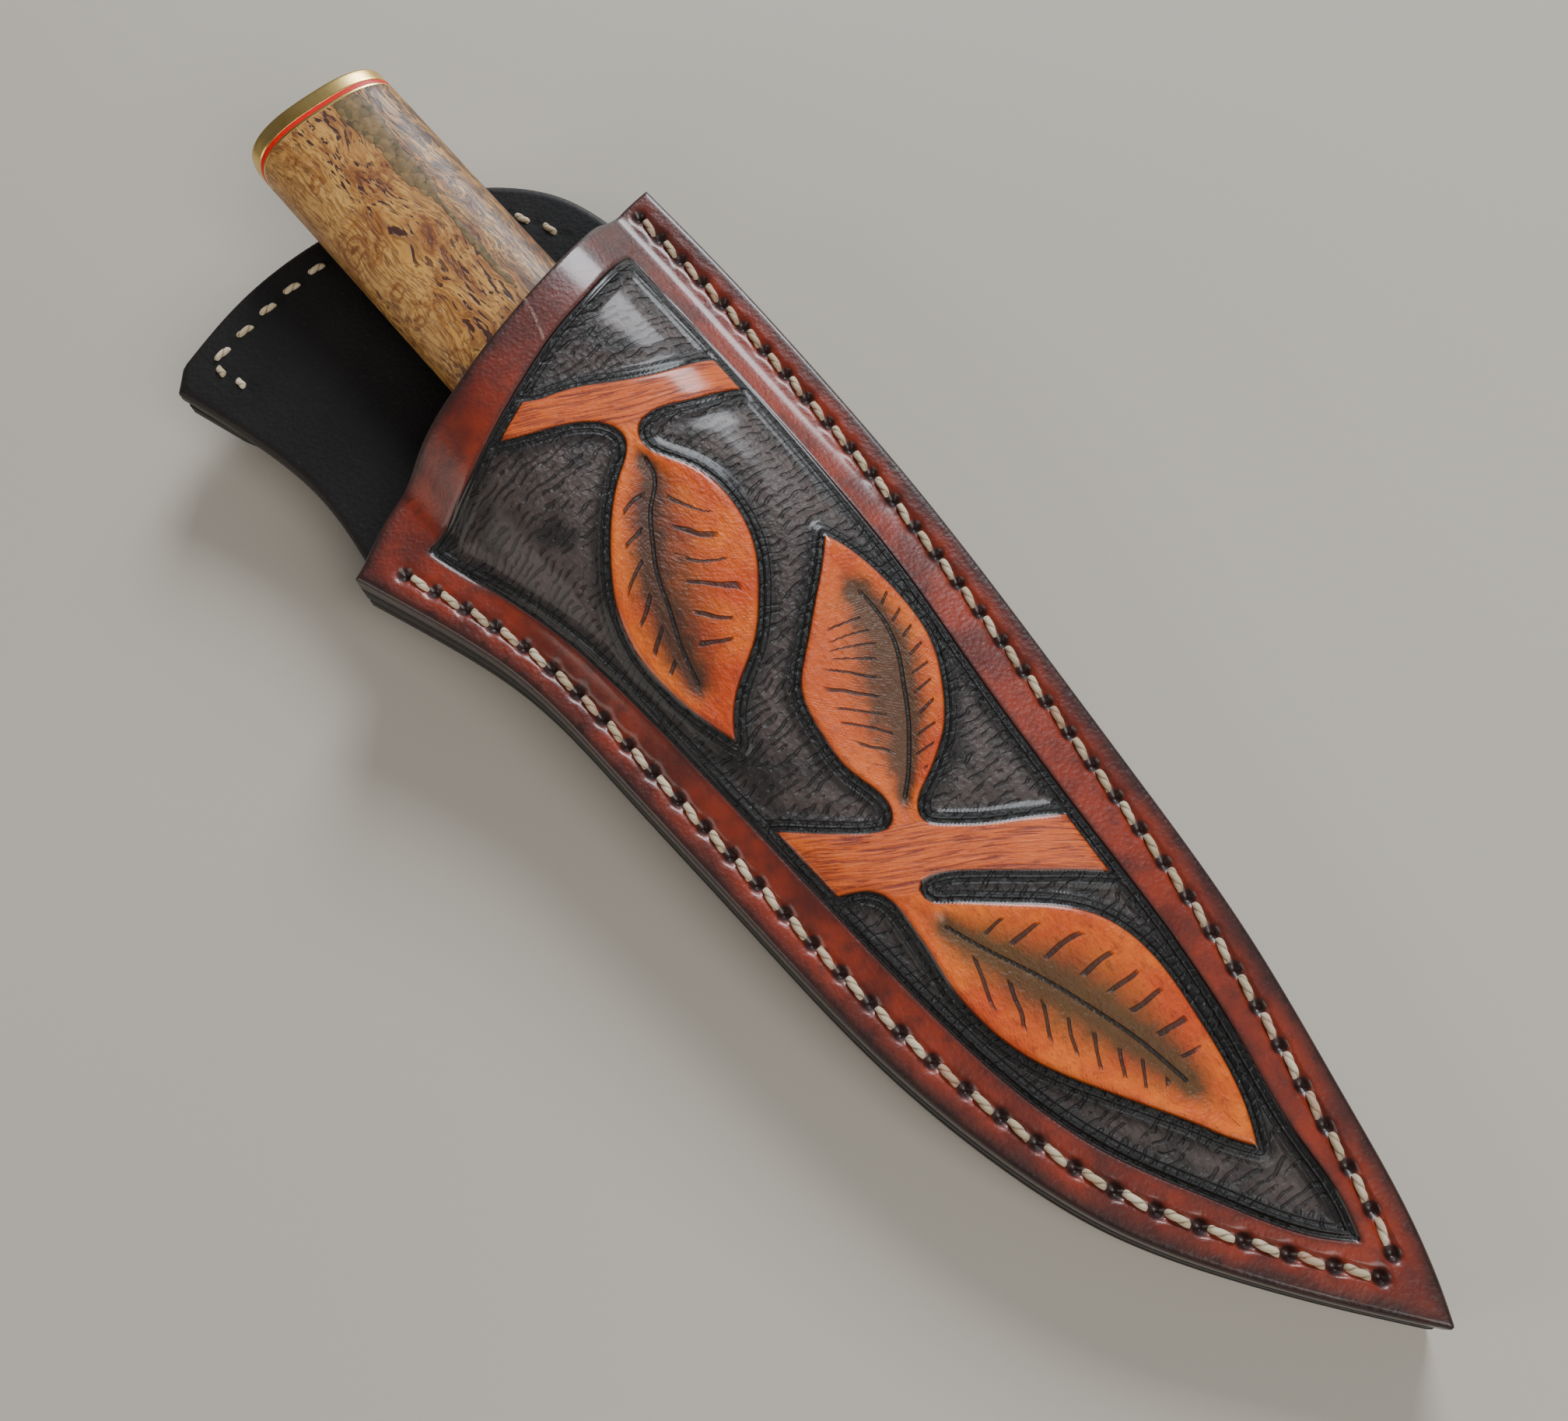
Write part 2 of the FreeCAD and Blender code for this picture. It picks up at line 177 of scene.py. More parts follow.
def rise(value, low, high):
    """0 up to low and 1 from high, with an even S between them."""
    t = np.clip((value - low) / (high - low), 0, 1)
    return t * t * (3 - 2 * t)


def groove(distance, width):
    """1 at a line, fading on both sides as the bell curve of distance over width."""
    return np.exp(-(distance / width) ** 2)


def rim_spacing(length, count, rim):
    """Places across a length: four close to each end, for its rounded rim, and the rest even."""
    length = np.atleast_1d(np.asarray(length, float))[:, None]
    near = np.array([0, 0.13, 0.45, 1.0]) * np.minimum(rim, length / 8)
    even = near[:, -1:] + (length - 2 * near[:, -1:]) * np.linspace(0, 1, count - 6)
    return np.hstack([near[:, :-1], even, length - near[:, -2::-1]])


def rounded(to_rim, radius):
    """How far a face falls towards its rim: a quarter circle of the radius."""
    near = radius - np.minimum(to_rim, radius)
    return radius - np.sqrt(radius ** 2 - near ** 2)


def lifted(flat, heights):
    """A flat grid with a height for each of its points."""
    return np.dstack([flat, np.reshape(heights, flat.shape[:2])])


def inward_normals(line, inward):
    """Unit normals of a line, to its left for 1 and to its right for -1."""
    run = np.gradient(line, axis=0)
    return inward * np.stack([-run[:, 1], run[:, 0]], 1) / np.linalg.norm(run, axis=1)[:, None]


def ruled_sheet(left, right, end, rows, columns, tip=0.6, rim=RIM_ROUNDING):
    """Flat grid between two long edges, from near their common start to an end edge.

    Each row is a straight line across, and the rows bend over to the end edge with the fourth
    power of the way along.
    """
    left_length = along(left)[-1]
    right_length = along(right)[-1]
    u = (tip + rim_spacing(left_length - tip, rows, rim)[0]) / left_length
    a = at_lengths(left, u * left_length)
    b = at_lengths(right, u * right_length)
    width = np.linalg.norm(b - a, axis=1)
    v = rim_spacing(width, columns, rim) / width[:, None]
    grid = a[:, None] + (b - a)[:, None] * v[..., None]
    chord = end[0] + (end[-1] - end[0]) * v[..., None]
    bent = at_lengths(end, v * along(end)[-1]) - chord
    return grid + (u ** 4)[:, None, None] * bent


def cells(rows, columns, first=0):
    """Faces of a grid of vertices, turning left from rows to columns."""
    corner = first + np.arange(rows - 1)[:, None] * columns + np.arange(columns - 1)
    return np.stack([corner, corner + 1, corner + columns + 1, corner + columns], -1).reshape(-1, 4)


def border_of(rows, columns, first=0):
    """The vertices round a grid, turning left."""
    index = first + np.arange(rows * columns).reshape(rows, columns)
    return np.concatenate([index[0, :-1], index[:-1, -1], index[-1, :0:-1], index[:0:-1, 0]])


def thick_sheet(top, bottom, step=1):
    """A closed sheet: a grid of faces on top, one below, and a wall between their borders.

    The lower grid may be coarser, by a whole step, and each face of the wall spans one of its cells.
    """
    rows, columns = top.shape[:2]
    low_rows, low_columns = bottom.shape[:2]
    first = rows * columns
    upper = border_of(rows, columns)
    lower = border_of(low_rows, low_columns, first)
    steps = np.arange(step, -1, -1)
    spans = upper[(np.arange(len(lower))[:, None] * step + steps) % len(upper)]
    wall = np.hstack([lower[:, None], np.roll(lower, -1)[:, None], spans])
    faces = cells(rows, columns).tolist()
    faces += cells(low_rows, low_columns, first)[:, ::-1].tolist()
    faces += wall.tolist()
    return np.vstack([top.reshape(-1, 3), bottom.reshape(-1, 3)]), faces


def placed(name, data):
    """An object of the scene with this data."""
    made = bpy.data.objects.new(name, data)
    bpy.context.scene.collection.objects.link(made)
    return made


def add_piece(name, points, faces, place, surface, body, slot_name, **measures):
    """A smooth-shaded piece on a body, in place of the node it is named for, with the surface given.

    The measures are kept on its points, as numbers or as triples, with the points in millimetres.
    slot_name is not used.
    """
    mesh = bpy.data.meshes.new(name + "_visual")
    mesh.from_pydata(place(points).tolist(), [], faces)
    mesh.shade_smooth()
    for label, values in dict(measures, mm=points).items():
        kind = "FLOAT_VECTOR" if np.ndim(values) == 2 else "FLOAT"
        field = "vector" if np.ndim(values) == 2 else "value"
        layer = mesh.attributes.new(label, kind, "POINT")
        layer.data.foreach_set(field, np.asarray(values, np.float32).ravel())
    mesh.materials.append(surface)
    piece = placed(name + "_visual", mesh)
    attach(piece, body)
    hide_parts(name)


class Wire:
    """A shader socket that Python's operators work on; node() adds any other kind of node."""

    def __init__(self, tree, socket=None):
        self.tree = tree
        self.socket = socket

    def node(self, kind, inputs, out=0, **settings):
        made = self.tree.nodes.new("ShaderNode" + kind)
        for name, value in settings.items():
            setattr(made, name, value)
        for key, value in inputs.items():
            if isinstance(value, Wire):
                self.tree.links.new(value.socket, made.inputs[key])
            else:
                made.inputs[key].default_value = value
        return Wire(self.tree, made.outputs[out])

    def math(self, operation, *terms):
        return self.node("Math", dict(enumerate(terms)), operation=operation)

    def __add__(self, other):
        return self.math("ADD", self, other)

    def __mul__(self, other):
        return self.math("MULTIPLY", self, other)

    def __sub__(self, other):
        return self.math("SUBTRACT", self, other)

    def __rsub__(self, other):
        return self.math("SUBTRACT", other, self)

    def __abs__(self):
        return self.math("ABSOLUTE", self)

    __radd__ = __add__
    __rmul__ = __mul__

    def both(self, other):
        return self.math("MINIMUM", self, other)

    def either(self, other):
        return self.math("MAXIMUM", self, other)

    def rise(self, low, high, start=0.0, end=1.0):
        """An even S from start at low to end at high."""
        sides = {"Value": self, "From Min": low, "From Max": high, "To Min": start, "To Max": end}
        return self.node("MapRange", sides, interpolation_type="SMOOTHSTEP")

    def fall(self, low, high):
        """An even S from 1 at low to 0 at high."""
        return self.rise(low, high, 1.0, 0.0)

    def tint(self, clear, full):
        """The first colour where this is 0, and the second where it is 1."""
        return self.node("Mix", {0: self, 6: clear, 7: full}, out=2, data_type="RGBA")

    def scaled(self, x, y, z):
        return self.node("VectorMath", {0: self, 1: (x, y, z)}, operation="MULTIPLY")

    def moved(self, other):
        return self.node("VectorMath", {0: self, 1: other}, operation="ADD")

    def noise(self, size, detail=2.0, roughness=0.5, distortion=0.0):
        """Cloudy noise on this place, its lumps about size across."""
        return self.node("TexNoise", {"Vector": self, "Scale": 1 / size, "Detail": detail,
                                      "Roughness": roughness, "Distortion": distortion})

    def pebbles(self, size, out=0):
        """Distance inside rounded cells about size across, or at out 1 each cell's own colour."""
        return self.node("TexVoronoi", {"Vector": self, "Scale": 1 / size}, out)

    def axis(self, number):
        """One part of a place: X, Y or Z."""
        return self.node("SeparateXYZ", {0: self}, number)

    def measure(self, label, vector=False):
        """A number or a triple kept on the mesh."""
        return self.node("Attribute", {}, out=1 if vector else 2, attribute_name=label)


def rgb(red, green, blue):
    """A colour from its display values, 0 to 255."""
    screen = np.array([red, green, blue]) / 255
    return (*np.where(screen < 0.0405, screen / 12.92, ((screen + 0.055) / 1.055) ** 2.4), 1.0)


def surface(name, **constants):
    """A new material, a wire to start its tree with, and a function that feeds its sockets."""
    made = bpy.data.materials.new(name)
    made.use_nodes = True
    tree = made.node_tree
    shader = tree.nodes["Principled BSDF"]
    for label, value in constants.items():
        shader.inputs[label.replace("_", " ")].default_value = value

    def feed(colour, roughness, height=None, coat=None):
        wanted = {"Base Color": colour, "Roughness": roughness, "Coat Weight": coat}
        if height is not None:
            wanted["Normal"] = height.node("Bump", {"Strength": 1.0, "Distance": BUMP_UNIT, "Height": height})
        for label, value in wanted.items():
            if value is not None:
                tree.links.new(value.socket, shader.inputs[label])

    return made, Wire(tree), feed


BORDER_BELLY = [(-34.3, 172.0), (-33.3, 167.7), (-31.3, 161.7), (-29.4, 154.7), (-27.8, 147.3),
                (-26.3, 134.2), (-25.0, 112.5), (-24.1, 91.5), (-23.0, 71.7), (-21.2, 56.2),
                (-17.3, 42.2), (-10.8, 29.0), (-3.8, 17.6), (-1.4, 15.2)]
BORDER_SPINE = [(-1.4, 15.2), (0.3, 19.5), (1.9, 29.0), (5.1, 41.8), (7.9, 56.2), (9.5, 70.0),
                (11.6, 87.8), (13.8, 104.0), (16.8, 124.2), (17.9, 137.5), (18.7, 150.3),
                (19.2, 163.3), (19.4, 175.7), (19.7, 191.4)]
BORDER_MOUTH = [(19.7, 191.4), (13.8, 188.4), (8.1, 186.0), (1.6, 184.0), (-4.7, 181.6),
                (-10.9, 178.9), (-17.1, 176.3), (-23.1, 174.2), (-28.9, 173.0), (-34.3, 172.0)]
# the upper branch with its leaf, each run smooth, ends past the border where they are cut off
UPPER_FIGURE = [
    [(-19.5, 177.6), (-12.0, 179.4), (-10.0, 177.5), (-4.6, 175.2), (1.8, 171.8), (8.5, 168.8),
     (17.7, 167.6), (22.5, 167.4)],
    [(22.5, 160.0), (17.9, 160.5), (8.6, 162.1), (3.2, 163.6), (1.3, 163.3), (0, 162.3),
     (-0.7, 160.5), (0.1, 157.3), (1.8, 154.3), (3.2, 150.6), (3.6, 145.8), (2.7, 140.2),
     (1.2, 136.4), (-1.0, 133.0), (-3.8, 129.6), (-7.5, 125.9), (-11.3, 123.5), (-15.1, 121.1),
     (-17.5, 118.7), (-19.4, 116.0)],
    [(-19.4, 116.0), (-20.7, 120.9), (-21.7, 126.1), (-22.1, 130.5), (-22.1, 135.0),
     (-21.3, 139.2), (-19.8, 143.3), (-17.4, 147.3), (-14.3, 151.4), (-10.6, 155.5),
     (-6.9, 158.6), (-3.4, 161.4), (-2.5, 163.2), (-2.9, 165.6), (-5.2, 168.4), (-9.6, 170.9),
     (-17.7, 175.5), (-19.5, 177.6)]]
# the lower branch with a leaf growing up from it and a leaf hanging down
LOWER_FIGURE = [
    [(-27, 106), (-23.2, 103.3), (-19.8, 99.9), (-16.4, 96.7), (-12.9, 93.9), (-10.9, 93.3),
     (-9.5, 94.6), (-9.0, 96.9), (-9.7, 100.7), (-10.2, 104), (-9.7, 109), (-8.8, 113.5),
     (-7.3, 116.6), (-4.7, 119.1), (-0.9, 122.2), (2.9, 125.4), (6.7, 128.6), (10.7, 132.6)],
    [(10.7, 132.6), (11.8, 130.2), (12.8, 126.6), (13.3, 122.9), (13.4, 117.2), (12.4, 110.9),
     (10.0, 105.8), (7.5, 102.2), (4.6, 99.0), (1.1, 96.6), (-2.4, 94.8), (-5.4, 93.2),
     (-6.6, 91.3), (-4.4, 88.2), (-0.2, 84.9), (4.1, 82.3), (9.4, 79.0), (15, 76)],
    [(15, 64), (8.3, 68.7), (4.2, 72.2), (-0.1, 75.7), (-3.7, 78.8), (-7.1, 81.6), (-10.7, 83.9),
     (-13.2, 84.1), (-13.6, 82.2), (-11.3, 79.7), (-9.3, 78.0), (-5.7, 74.8), (-1.4, 70.9),
     (2.1, 66.6), (3.9, 62.3), (4.5, 58.1), (4.3, 53.2), (3.5, 48.2), (2.5, 43.2), (1.1, 38.2),
     (-0.7, 34.0), (-2.7, 30.6)],
    [(-2.7, 30.6), (-4.9, 33.9), (-6.9, 37.8), (-9.6, 42.5), (-12.5, 47.5), (-15.3, 52.5),
     (-17.5, 57.4), (-18.7, 61.7), (-19.3, 66.6), (-19.2, 71.6), (-18.4, 76.5), (-17.8, 81.5),
     (-17.7, 85.2), (-18.7, 87.6), (-20.6, 89.2), (-22.8, 90.4), (-27, 92.5)]]
MIDRIBS = [[(-2.0, 158.5), (-3.0, 154.9), (-6.2, 151.8), (-9.3, 147.6), (-12.3, 142.6),
            (-14.1, 137.8), (-15.9, 133.5), (-18.0, 126.3)],
           [(-6.5, 95.0), (-3.9, 97.2), (-1.1, 100.2), (1.6, 103.4), (4.4, 107.6), (7.3, 112.4),
            (8.8, 117.5), (8.9, 122.5)],
           [(-14.2, 77.8), (-12.0, 71.5), (-9.9, 66.5), (-8.1, 61.6), (-6.6, 56.7), (-5.2, 51.8),
            (-4.3, 47.0), (-3.7, 42.5)]]
VEINS = (7.4, 11.6, 8.8)        # veins along each midrib
SCUFF = [(0.6, 191.6), (-0.3, 187.5), (-1.5, 183.9)]
UPPER_GRAIN = [(-17, 178), (-7, 173), (3, 168), (20, 164)]
LOWER_GRAIN = [(-26, 98.5), (-15, 90), (-4, 83.5), (12, 71.5)]


def arch_height(x, y, half_widening):
    """Rise of the pocket over the flange's face, below 0 outside it: a flat-topped arch across."""
    middle, half, height = spline(ARCH[:, 0], ARCH[:, 1:], np.clip(y, 4, 215)).T
    across = np.abs((x - middle) / (half + half_widening))
    return height - np.maximum(height, ARCH_LEAST_FALL) * np.minimum(across, 3) ** ARCH_FULLNESS


def higher(a, b, blend):
    """The larger of two heights, with a fillet where they meet."""
    t = np.clip(0.5 + (a - b) / (2 * blend), 0, 1)
    return b + (a - b) * t + blend * t * (1 - t)


def seam_line(edge, inward, start):
    """The stitched line inside a long edge: the edge moved in by SEAM_INSET along its normal."""
    fine = smooth_curve(edge, 59 * 6 + 1)
    inside = (fine + SEAM_INSET * inward_normals(fine, inward))[::6]
    return inside[(inside[:, 1] > start) & (inside[:, 1] < edge[-1][1] - SEAM_MOUTH_MARGIN)]


def awl_holes(line):
    """Evenly spaced holes along a line, one stitch apart."""
    fine = smooth_curve(line, 400)
    count = max(2, round(along(fine)[-1] / STITCH_PITCH) + 1)
    return at_lengths(fine, np.linspace(0, along(fine)[-1], count))


def pricks(points, holes):
    """Distance to the nearest awl hole."""
    gap = np.full(len(points), 1e9)
    for hole in holes:
        gap = np.minimum(gap, np.hypot(*(points - hole).T))
    return gap


belly_holes = awl_holes(seam_line(BELLY_EDGE, -1, BELLY_SEAM_START))
spine_holes = awl_holes(seam_line(SPINE_EDGE, 1, SPINE_SEAM_START))
mouth_line = join([BELLY_EDGE[-1]], smooth_curve(MOUTH_EDGE, 120))
belly_line = smooth_curve(BELLY_EDGE, 240)
spine_line = smooth_curve(SPINE_EDGE, 240)

# the carved face is meshed PANEL_STEP times finer than the flesh side under it
PANEL_STEP = 3
UNDER_ROWS, UNDER_COLUMNS = 141, 51
flat = ruled_sheet(belly_line, spine_line, mouth_line,
                   (UNDER_ROWS - 1) * PANEL_STEP + 1, (UNDER_COLUMNS - 1) * PANEL_STEP + 1)
face = flat.reshape(-1, 2)
outline = join(belly_line, mouth_line[1:], spine_line[::-1])
to_rim = np.abs(signed_distance(face, outline))
border_line = join(smooth_curve(BORDER_BELLY, 90)[:-1], smooth_curve(BORDER_SPINE, 90)[:-1],
                   smooth_curve(BORDER_MOUTH, 40)[:-1])
border = signed_distance(face, border_line)
figure = np.full(len(face), 1e9)
for runs in (UPPER_FIGURE, LOWER_FIGURE):
    figure = np.minimum(figure, signed_distance(face, join(*[smooth_curve(run, 80) for run in runs])))

# where each point stands on the leaf or branch nearest to it
rib = np.full(len(face), 1e9)
rib_run = np.zeros(len(face))
reach = np.zeros(len(face))
rib_side = np.zeros(len(face))
leaf_kind = np.zeros(len(face))
for number, run in enumerate(MIDRIBS):
    line = smooth_curve(run, 40)
    gap, place, side = nearest(face, line)
    closer = gap < rib
    rib[closer] = gap[closer]
    reach[closer] = place[closer] / along(line)[-1]
    rib_run[closer] = reach[closer] * VEINS[number]
    rib_side[closer] = side[closer]
    leaf_kind[closer] = number
lower_gap, lower_run, lower_side = nearest(face, smooth_curve(LOWER_GRAIN, 40))
upper_gap, upper_run, upper_side = nearest(face, smooth_curve(UPPER_GRAIN, 40))
grain = np.where(upper_gap < lower_gap, upper_gap * upper_side, lower_gap * lower_side)
branch_run = np.where(upper_gap < lower_gap, upper_run, lower_run)
twig = np.minimum(upper_gap, lower_gap)
to_seam = np.minimum(nearest(face, belly_holes)[0], nearest(face, spine_holes)[0])
to_awl = pricks(face, join(belly_holes, spine_holes))

x, y = face.T
arch = arch_height(x, y, ARCH_OVERLAP)
body_height = FLANGE + higher(arch, 0, 1.0 + 2.4 * rise(y, 60, 150))
field = -border - BEAD
ground = np.minimum(field, figure - BEAD)              # distance into the sunk background
leaf_share = rib / (rib + np.maximum(-figure, 0) + 1e-6)
leafy = rise(-figure, 0.0, 1.2) * rise(twig, 4.2, 6.0) * (field > 0)
# depths cut away: the background, the border's two lines, the figures' outline and bead, the
# leaves' hollows and midribs with a swell before their edge, the stitching groove and the holes
relief = 0.75 * rise(ground, -0.1, 1.3) - 0.28 * rise(ground, 1.3, 5.0)
relief += 0.52 * groove(border, 0.4) + 0.42 * groove(border + BEAD, 0.4)
figure_cuts = 0.50 * groove(figure - 0.2, 0.4) + 0.34 * groove(figure - BEAD, 0.4)
relief += rise(field, -0.2, 0.4) * (figure_cuts + 0.12 * rise(figure, 0.1, 0.6))
relief += leafy * (0.72 * (1 - rise(leaf_share, 0.1, 0.95)) + 0.16 * groove(rib, 0.6))
relief -= leafy * 0.16 * groove(leaf_share - 0.93, 0.12)
relief += 0.42 * rise(1.25 - to_seam, 0, 0.8)
relief += groove(to_awl, 1.0)
top = lifted(flat, body_height - relief - rounded(to_rim, RIM_ROUNDING))

under = flat[::PANEL_STEP, ::PANEL_STEP]
x, y = under.reshape(-1, 2).T
ceiling = np.maximum(arch_height(x, y, 0.0), 0)
bottom = lifted(under, LEATHER + WELT + ceiling)
points, faces = thick_sheet(top, bottom, PANEL_STEP)
spare = len(points) - len(face)
inner_skin = np.zeros(under.shape[:2])
inner_skin[1:-1, 1:-1] = 1
inner_skin = inner_skin.ravel()


def on_face(values, below):
    """A measure of the carved face, with one value for the points under it."""
    return np.concatenate([values, np.full(spare, below)])


carved, wire, feed = surface("carved_leather", Specular_IOR_Level=0.5, Coat_Roughness=0.16, Coat_IOR=1.5)
mm = wire.measure("mm", vector=True)
to_border, to_figure, edge, awl, raw = [
    wire.measure(label) for label in ("to_border", "to_figure", "to_rim", "to_awl", "raw")]
share, kind, to_rib, run_up, reached, side = [
    wire.measure(label) for label in ("leaf_share", "leaf_kind", "to_rib", "rib_run", "reach", "rib_side")]
cloud = mm.noise(9.0, 3.0)
blotch = mm.noise(2.6, 4.0, 0.6)
fine = mm.noise(0.55, 3.0, 0.6)
pore = mm.pebbles(0.75)
in_field = to_border.rise(0.10, -0.10)
past_bead = to_border.rise(-BEAD, -BEAD - 0.2)
in_figure = to_figure.rise(0.08, -0.08).both(past_bead)
in_ground = in_field - in_figure

# mahogany dye on the border, rubbed nearly black towards the cut edge and the mouth's corners
warm_border = cloud.rise(0.3, 0.65).tint(rgb(92, 24, 9), rgb(142, 44, 16))
border_colour = (blotch.rise(0.45, 0.75) * 0.55).tint(warm_border, rgb(54, 15, 7))
darkened = (edge + blotch * 3.0).rise(1.6, 4.6, 0.93, 0.0)
mouth_dark = (mm.axis(1) + cloud * 14).rise(186, 200) * 0.55
border_colour = darkened.either(mouth_dark).tint(border_colour, rgb(24, 9, 6))
near_line = to_border.rise(0.3, 1.5, 0.7, 0.0)
border_colour = near_line.tint(border_colour, rgb(40, 12, 6))
scuff = wire.measure("to_scuff").fall(0.12, 0.34) * mm.noise(0.7, 3.0).rise(0.3, 0.55)
border_colour = (scuff * 0.8).tint(border_colour, rgb(150, 120, 108))

# leaves: orange, blotched redder, brown-green where they sink towards the midrib, finely creased,
# and pinker on the far side of the middle one, partly its own tone and partly a painted sheen
bright = cloud.rise(0.3, 0.7).tint(rgb(208, 72, 2), rgb(240, 116, 5))
bright = (blotch.rise(0.45, 0.75) * 0.5).tint(bright, rgb(164, 44, 2))
far_side = side.rise(-0.5, 0.5)
first_leaf = kind.fall(0.2, 0.8)
hollow = share + blotch * 0.5 - 0.25 + first_leaf * (far_side * 0.16 - 0.08)
hollow = hollow.fall(0.14, 0.76)
olive = kind.rise(0.5, 1.6).tint(rgb(44, 30, 12), rgb(74, 56, 18))
leaf_colour = (hollow * 0.94).tint(bright, olive)
# the middle leaf's far side: pink partly of its own and partly a painted sheen, going to brown in its hollow
pink_and_sheen = side.rise(-0.3, 0.3) * kind.rise(0.4, 0.9) * kind.fall(1.1, 1.6)
pink_to_brown = hollow.rise(0.1, 0.95).tint(rgb(222, 102, 42), rgb(96, 66, 44))
leaf_colour = (pink_and_sheen * 0.62).tint(leaf_colour, pink_to_brown)
slant = run_up - to_rib * (0.16 - 0.07 * side) + mm.noise(11.0) * 0.9
creases = wire.math("SINE", slant * 40 + blotch * 9) * mm.noise(1.6, 2.0).rise(0.4, 0.6)
wrinkle = mm.scaled(1.0, 0.5, 1.0).noise(0.8, 4.0, 0.65) + creases * 0.05
leaf_colour = (wrinkle.rise(0.5, 0.7) * 0.35).tint(leaf_colour, rgb(84, 28, 6))

# branches: wood grain run along them
grain_lines = wire.node("CombineXYZ", {0: wire.measure("branch_along") * 0.16,
                                       1: wire.measure("branch_across") * 2.1})
branch_grain = grain_lines.noise(1.0, 5.0, 0.62, 0.6)
branch_colour = branch_grain.rise(0.34, 0.58).tint(rgb(132, 40, 3), rgb(226, 98, 10))
branch_colour = (branch_grain.rise(0.60, 0.72) * 0.6).tint(branch_colour, rgb(226, 140, 70))
on_branch = wire.measure("twig").fall(3.6, 6.2)
figure_colour = on_branch.tint(leaf_colour, branch_colour)
figure_edge = to_figure.rise(-1.1, -0.1)
figure_colour = (figure_edge * 0.35).tint(figure_colour, rgb(140, 40, 3))

# background: black dye worn to grey-brown in the open areas, with small tool marks in rows
depth_in = to_figure.both(to_border * -1.0)
open_ground = (depth_in + blotch * 2.0).rise(1.6, 5.4)
ground_colour = (open_ground * cloud.rise(0.25, 0.55)).tint(rgb(13, 10, 9), rgb(82, 69, 66))
rows_of_marks = wire.math("SINE", mm.axis(1) * 4.3 + mm.noise(5.0, 2.0) * 15.0 + blotch * 2.0)
marks = rows_of_marks.rise(0.1, 0.95) * mm.noise(2.2, 2.0).rise(0.38, 0.56)
scallops = mm.scaled(1, 0.7, 1).pebbles(0.95)
struck = (scallops.rise(0.3, 0.65) * 0.2).either(marks * 0.8)
ground_colour = struck.tint(ground_colour, rgb(12, 9, 8))

# knife cuts, filled black: both border lines, the figures' outlines, midribs and veins
beat = abs(wire.math("FRACT", slant) - 0.5)
vein = beat.fall(0.055, 0.10) * (share + blotch * 0.3 - 0.15).rise(0.24, 0.30)
vein = vein * (share + cloud * 0.5 - 0.25).fall(0.64, 0.72) * (1 - on_branch) * in_figure
vein = vein * reached.rise(0.12, 0.14) * reached.fall(0.95, 0.97)
border_cut = abs(to_border).fall(0.26, 0.52)
outer_cut = abs(to_border + BEAD).fall(0.22, 0.46)
figure_cut = abs(to_figure - 0.2).fall(0.28, 0.62) * in_field
round_figure = to_figure.fall(BEAD, BEAD + 0.7) * in_ground
bead = (in_field - past_bead).either(round_figure)
rib_cut = to_rib.fall(0.14, 0.38) * in_figure * (1 - on_branch)
figure_edge_cut = abs(to_figure - BEAD).fall(0.2, 0.5) * in_field
cuts = border_cut.either(outer_cut * 0.9).either(figure_cut).either(figure_edge_cut * 0.85)
cuts = cuts.either(rib_cut * 0.95).either(vein * 0.85)

colour = in_figure.tint(in_field.tint(border_colour, ground_colour), figure_colour)
colour = (bead * 0.85).tint(colour, rgb(14, 11, 11))
colour = cuts.tint(colour, rgb(8, 5, 4))
colour = awl.rise(0.9, 1.5, 0.94, 0.0).tint(colour, rgb(34, 10, 6))
colour = raw.tint(colour, blotch.rise(0.3, 0.7).tint(rgb(46, 26, 17), rgb(74, 44, 28)))
gloss = 0.40 + blotch * 0.2 + in_ground * 0.06
height = fine * 0.08 + pore * 0.05 * (1 - in_ground) + blotch * 0.10
height = height - cuts * 0.25 - vein * 0.12 + branch_grain * on_branch * in_figure * 0.4
height = height + wrinkle * 0.3 * in_figure * (1 - on_branch)
height = height + in_ground * (scallops * 0.18 - marks * 0.34 + fine * 0.10)
feed(colour=colour, roughness=gloss, height=height, coat=(0.42 - in_ground * 0.2) * (1 - raw))

add_piece(
    "front_panel", points, faces, lay, carved, "sheath", "carved_leather",
    to_scuff=on_face(nearest(face, smooth_curve(SCUFF, 9))[0], FAR),
    to_border=on_face(border, FAR), to_figure=on_face(np.clip(figure, -FAR, FAR), FAR),
    to_rib=on_face(rib, FAR), rib_run=on_face(rib_run, 0), rib_side=on_face(rib_side, 0),
    reach=on_face(reach, 0), leaf_kind=on_face(leaf_kind, 0), leaf_share=on_face(leaf_share, 1),
    branch_across=on_face(grain, 0), branch_along=on_face(branch_run, 0), twig=on_face(twig, FAR),
    to_awl=on_face(to_awl, FAR), to_rim=np.concatenate([to_rim, 5 * inner_skin]),
    raw=np.concatenate([np.zeros(len(face)), inner_skin]))

# --- back_panel ------------------------------------------------------------
# The back leather, dyed flat black: as wide as the front and run on past the mouth as a flap
# behind the handle, with its cut edges rubbed round.

FLAP_BELLY_SIDE = [(-43.2, 178), (-41.8, 198), (-43.9, 211), (-48.9, 228.6)]
FLAP_TOP = [(-45.6, 232.4), (-31, 237.2), (-14.3, 238.6), (2, 235.5), (14.3, 228.3),
            (22.8, 217.9), (26.3, 203)]
LOOP_TOP_SEAM = [(-41.8, 229.2), (-23.6, 233.1), (-9, 233.4), (4, 229.5), (14.4, 219.6), (18.2, 210.8)]
LOOP_RETURN_SEAM = [(-39.3, 220.8), (-41.8, 229.2)]
LOOP_LOW_SEAM = [(-27, 148.5), (14, 148.5)]

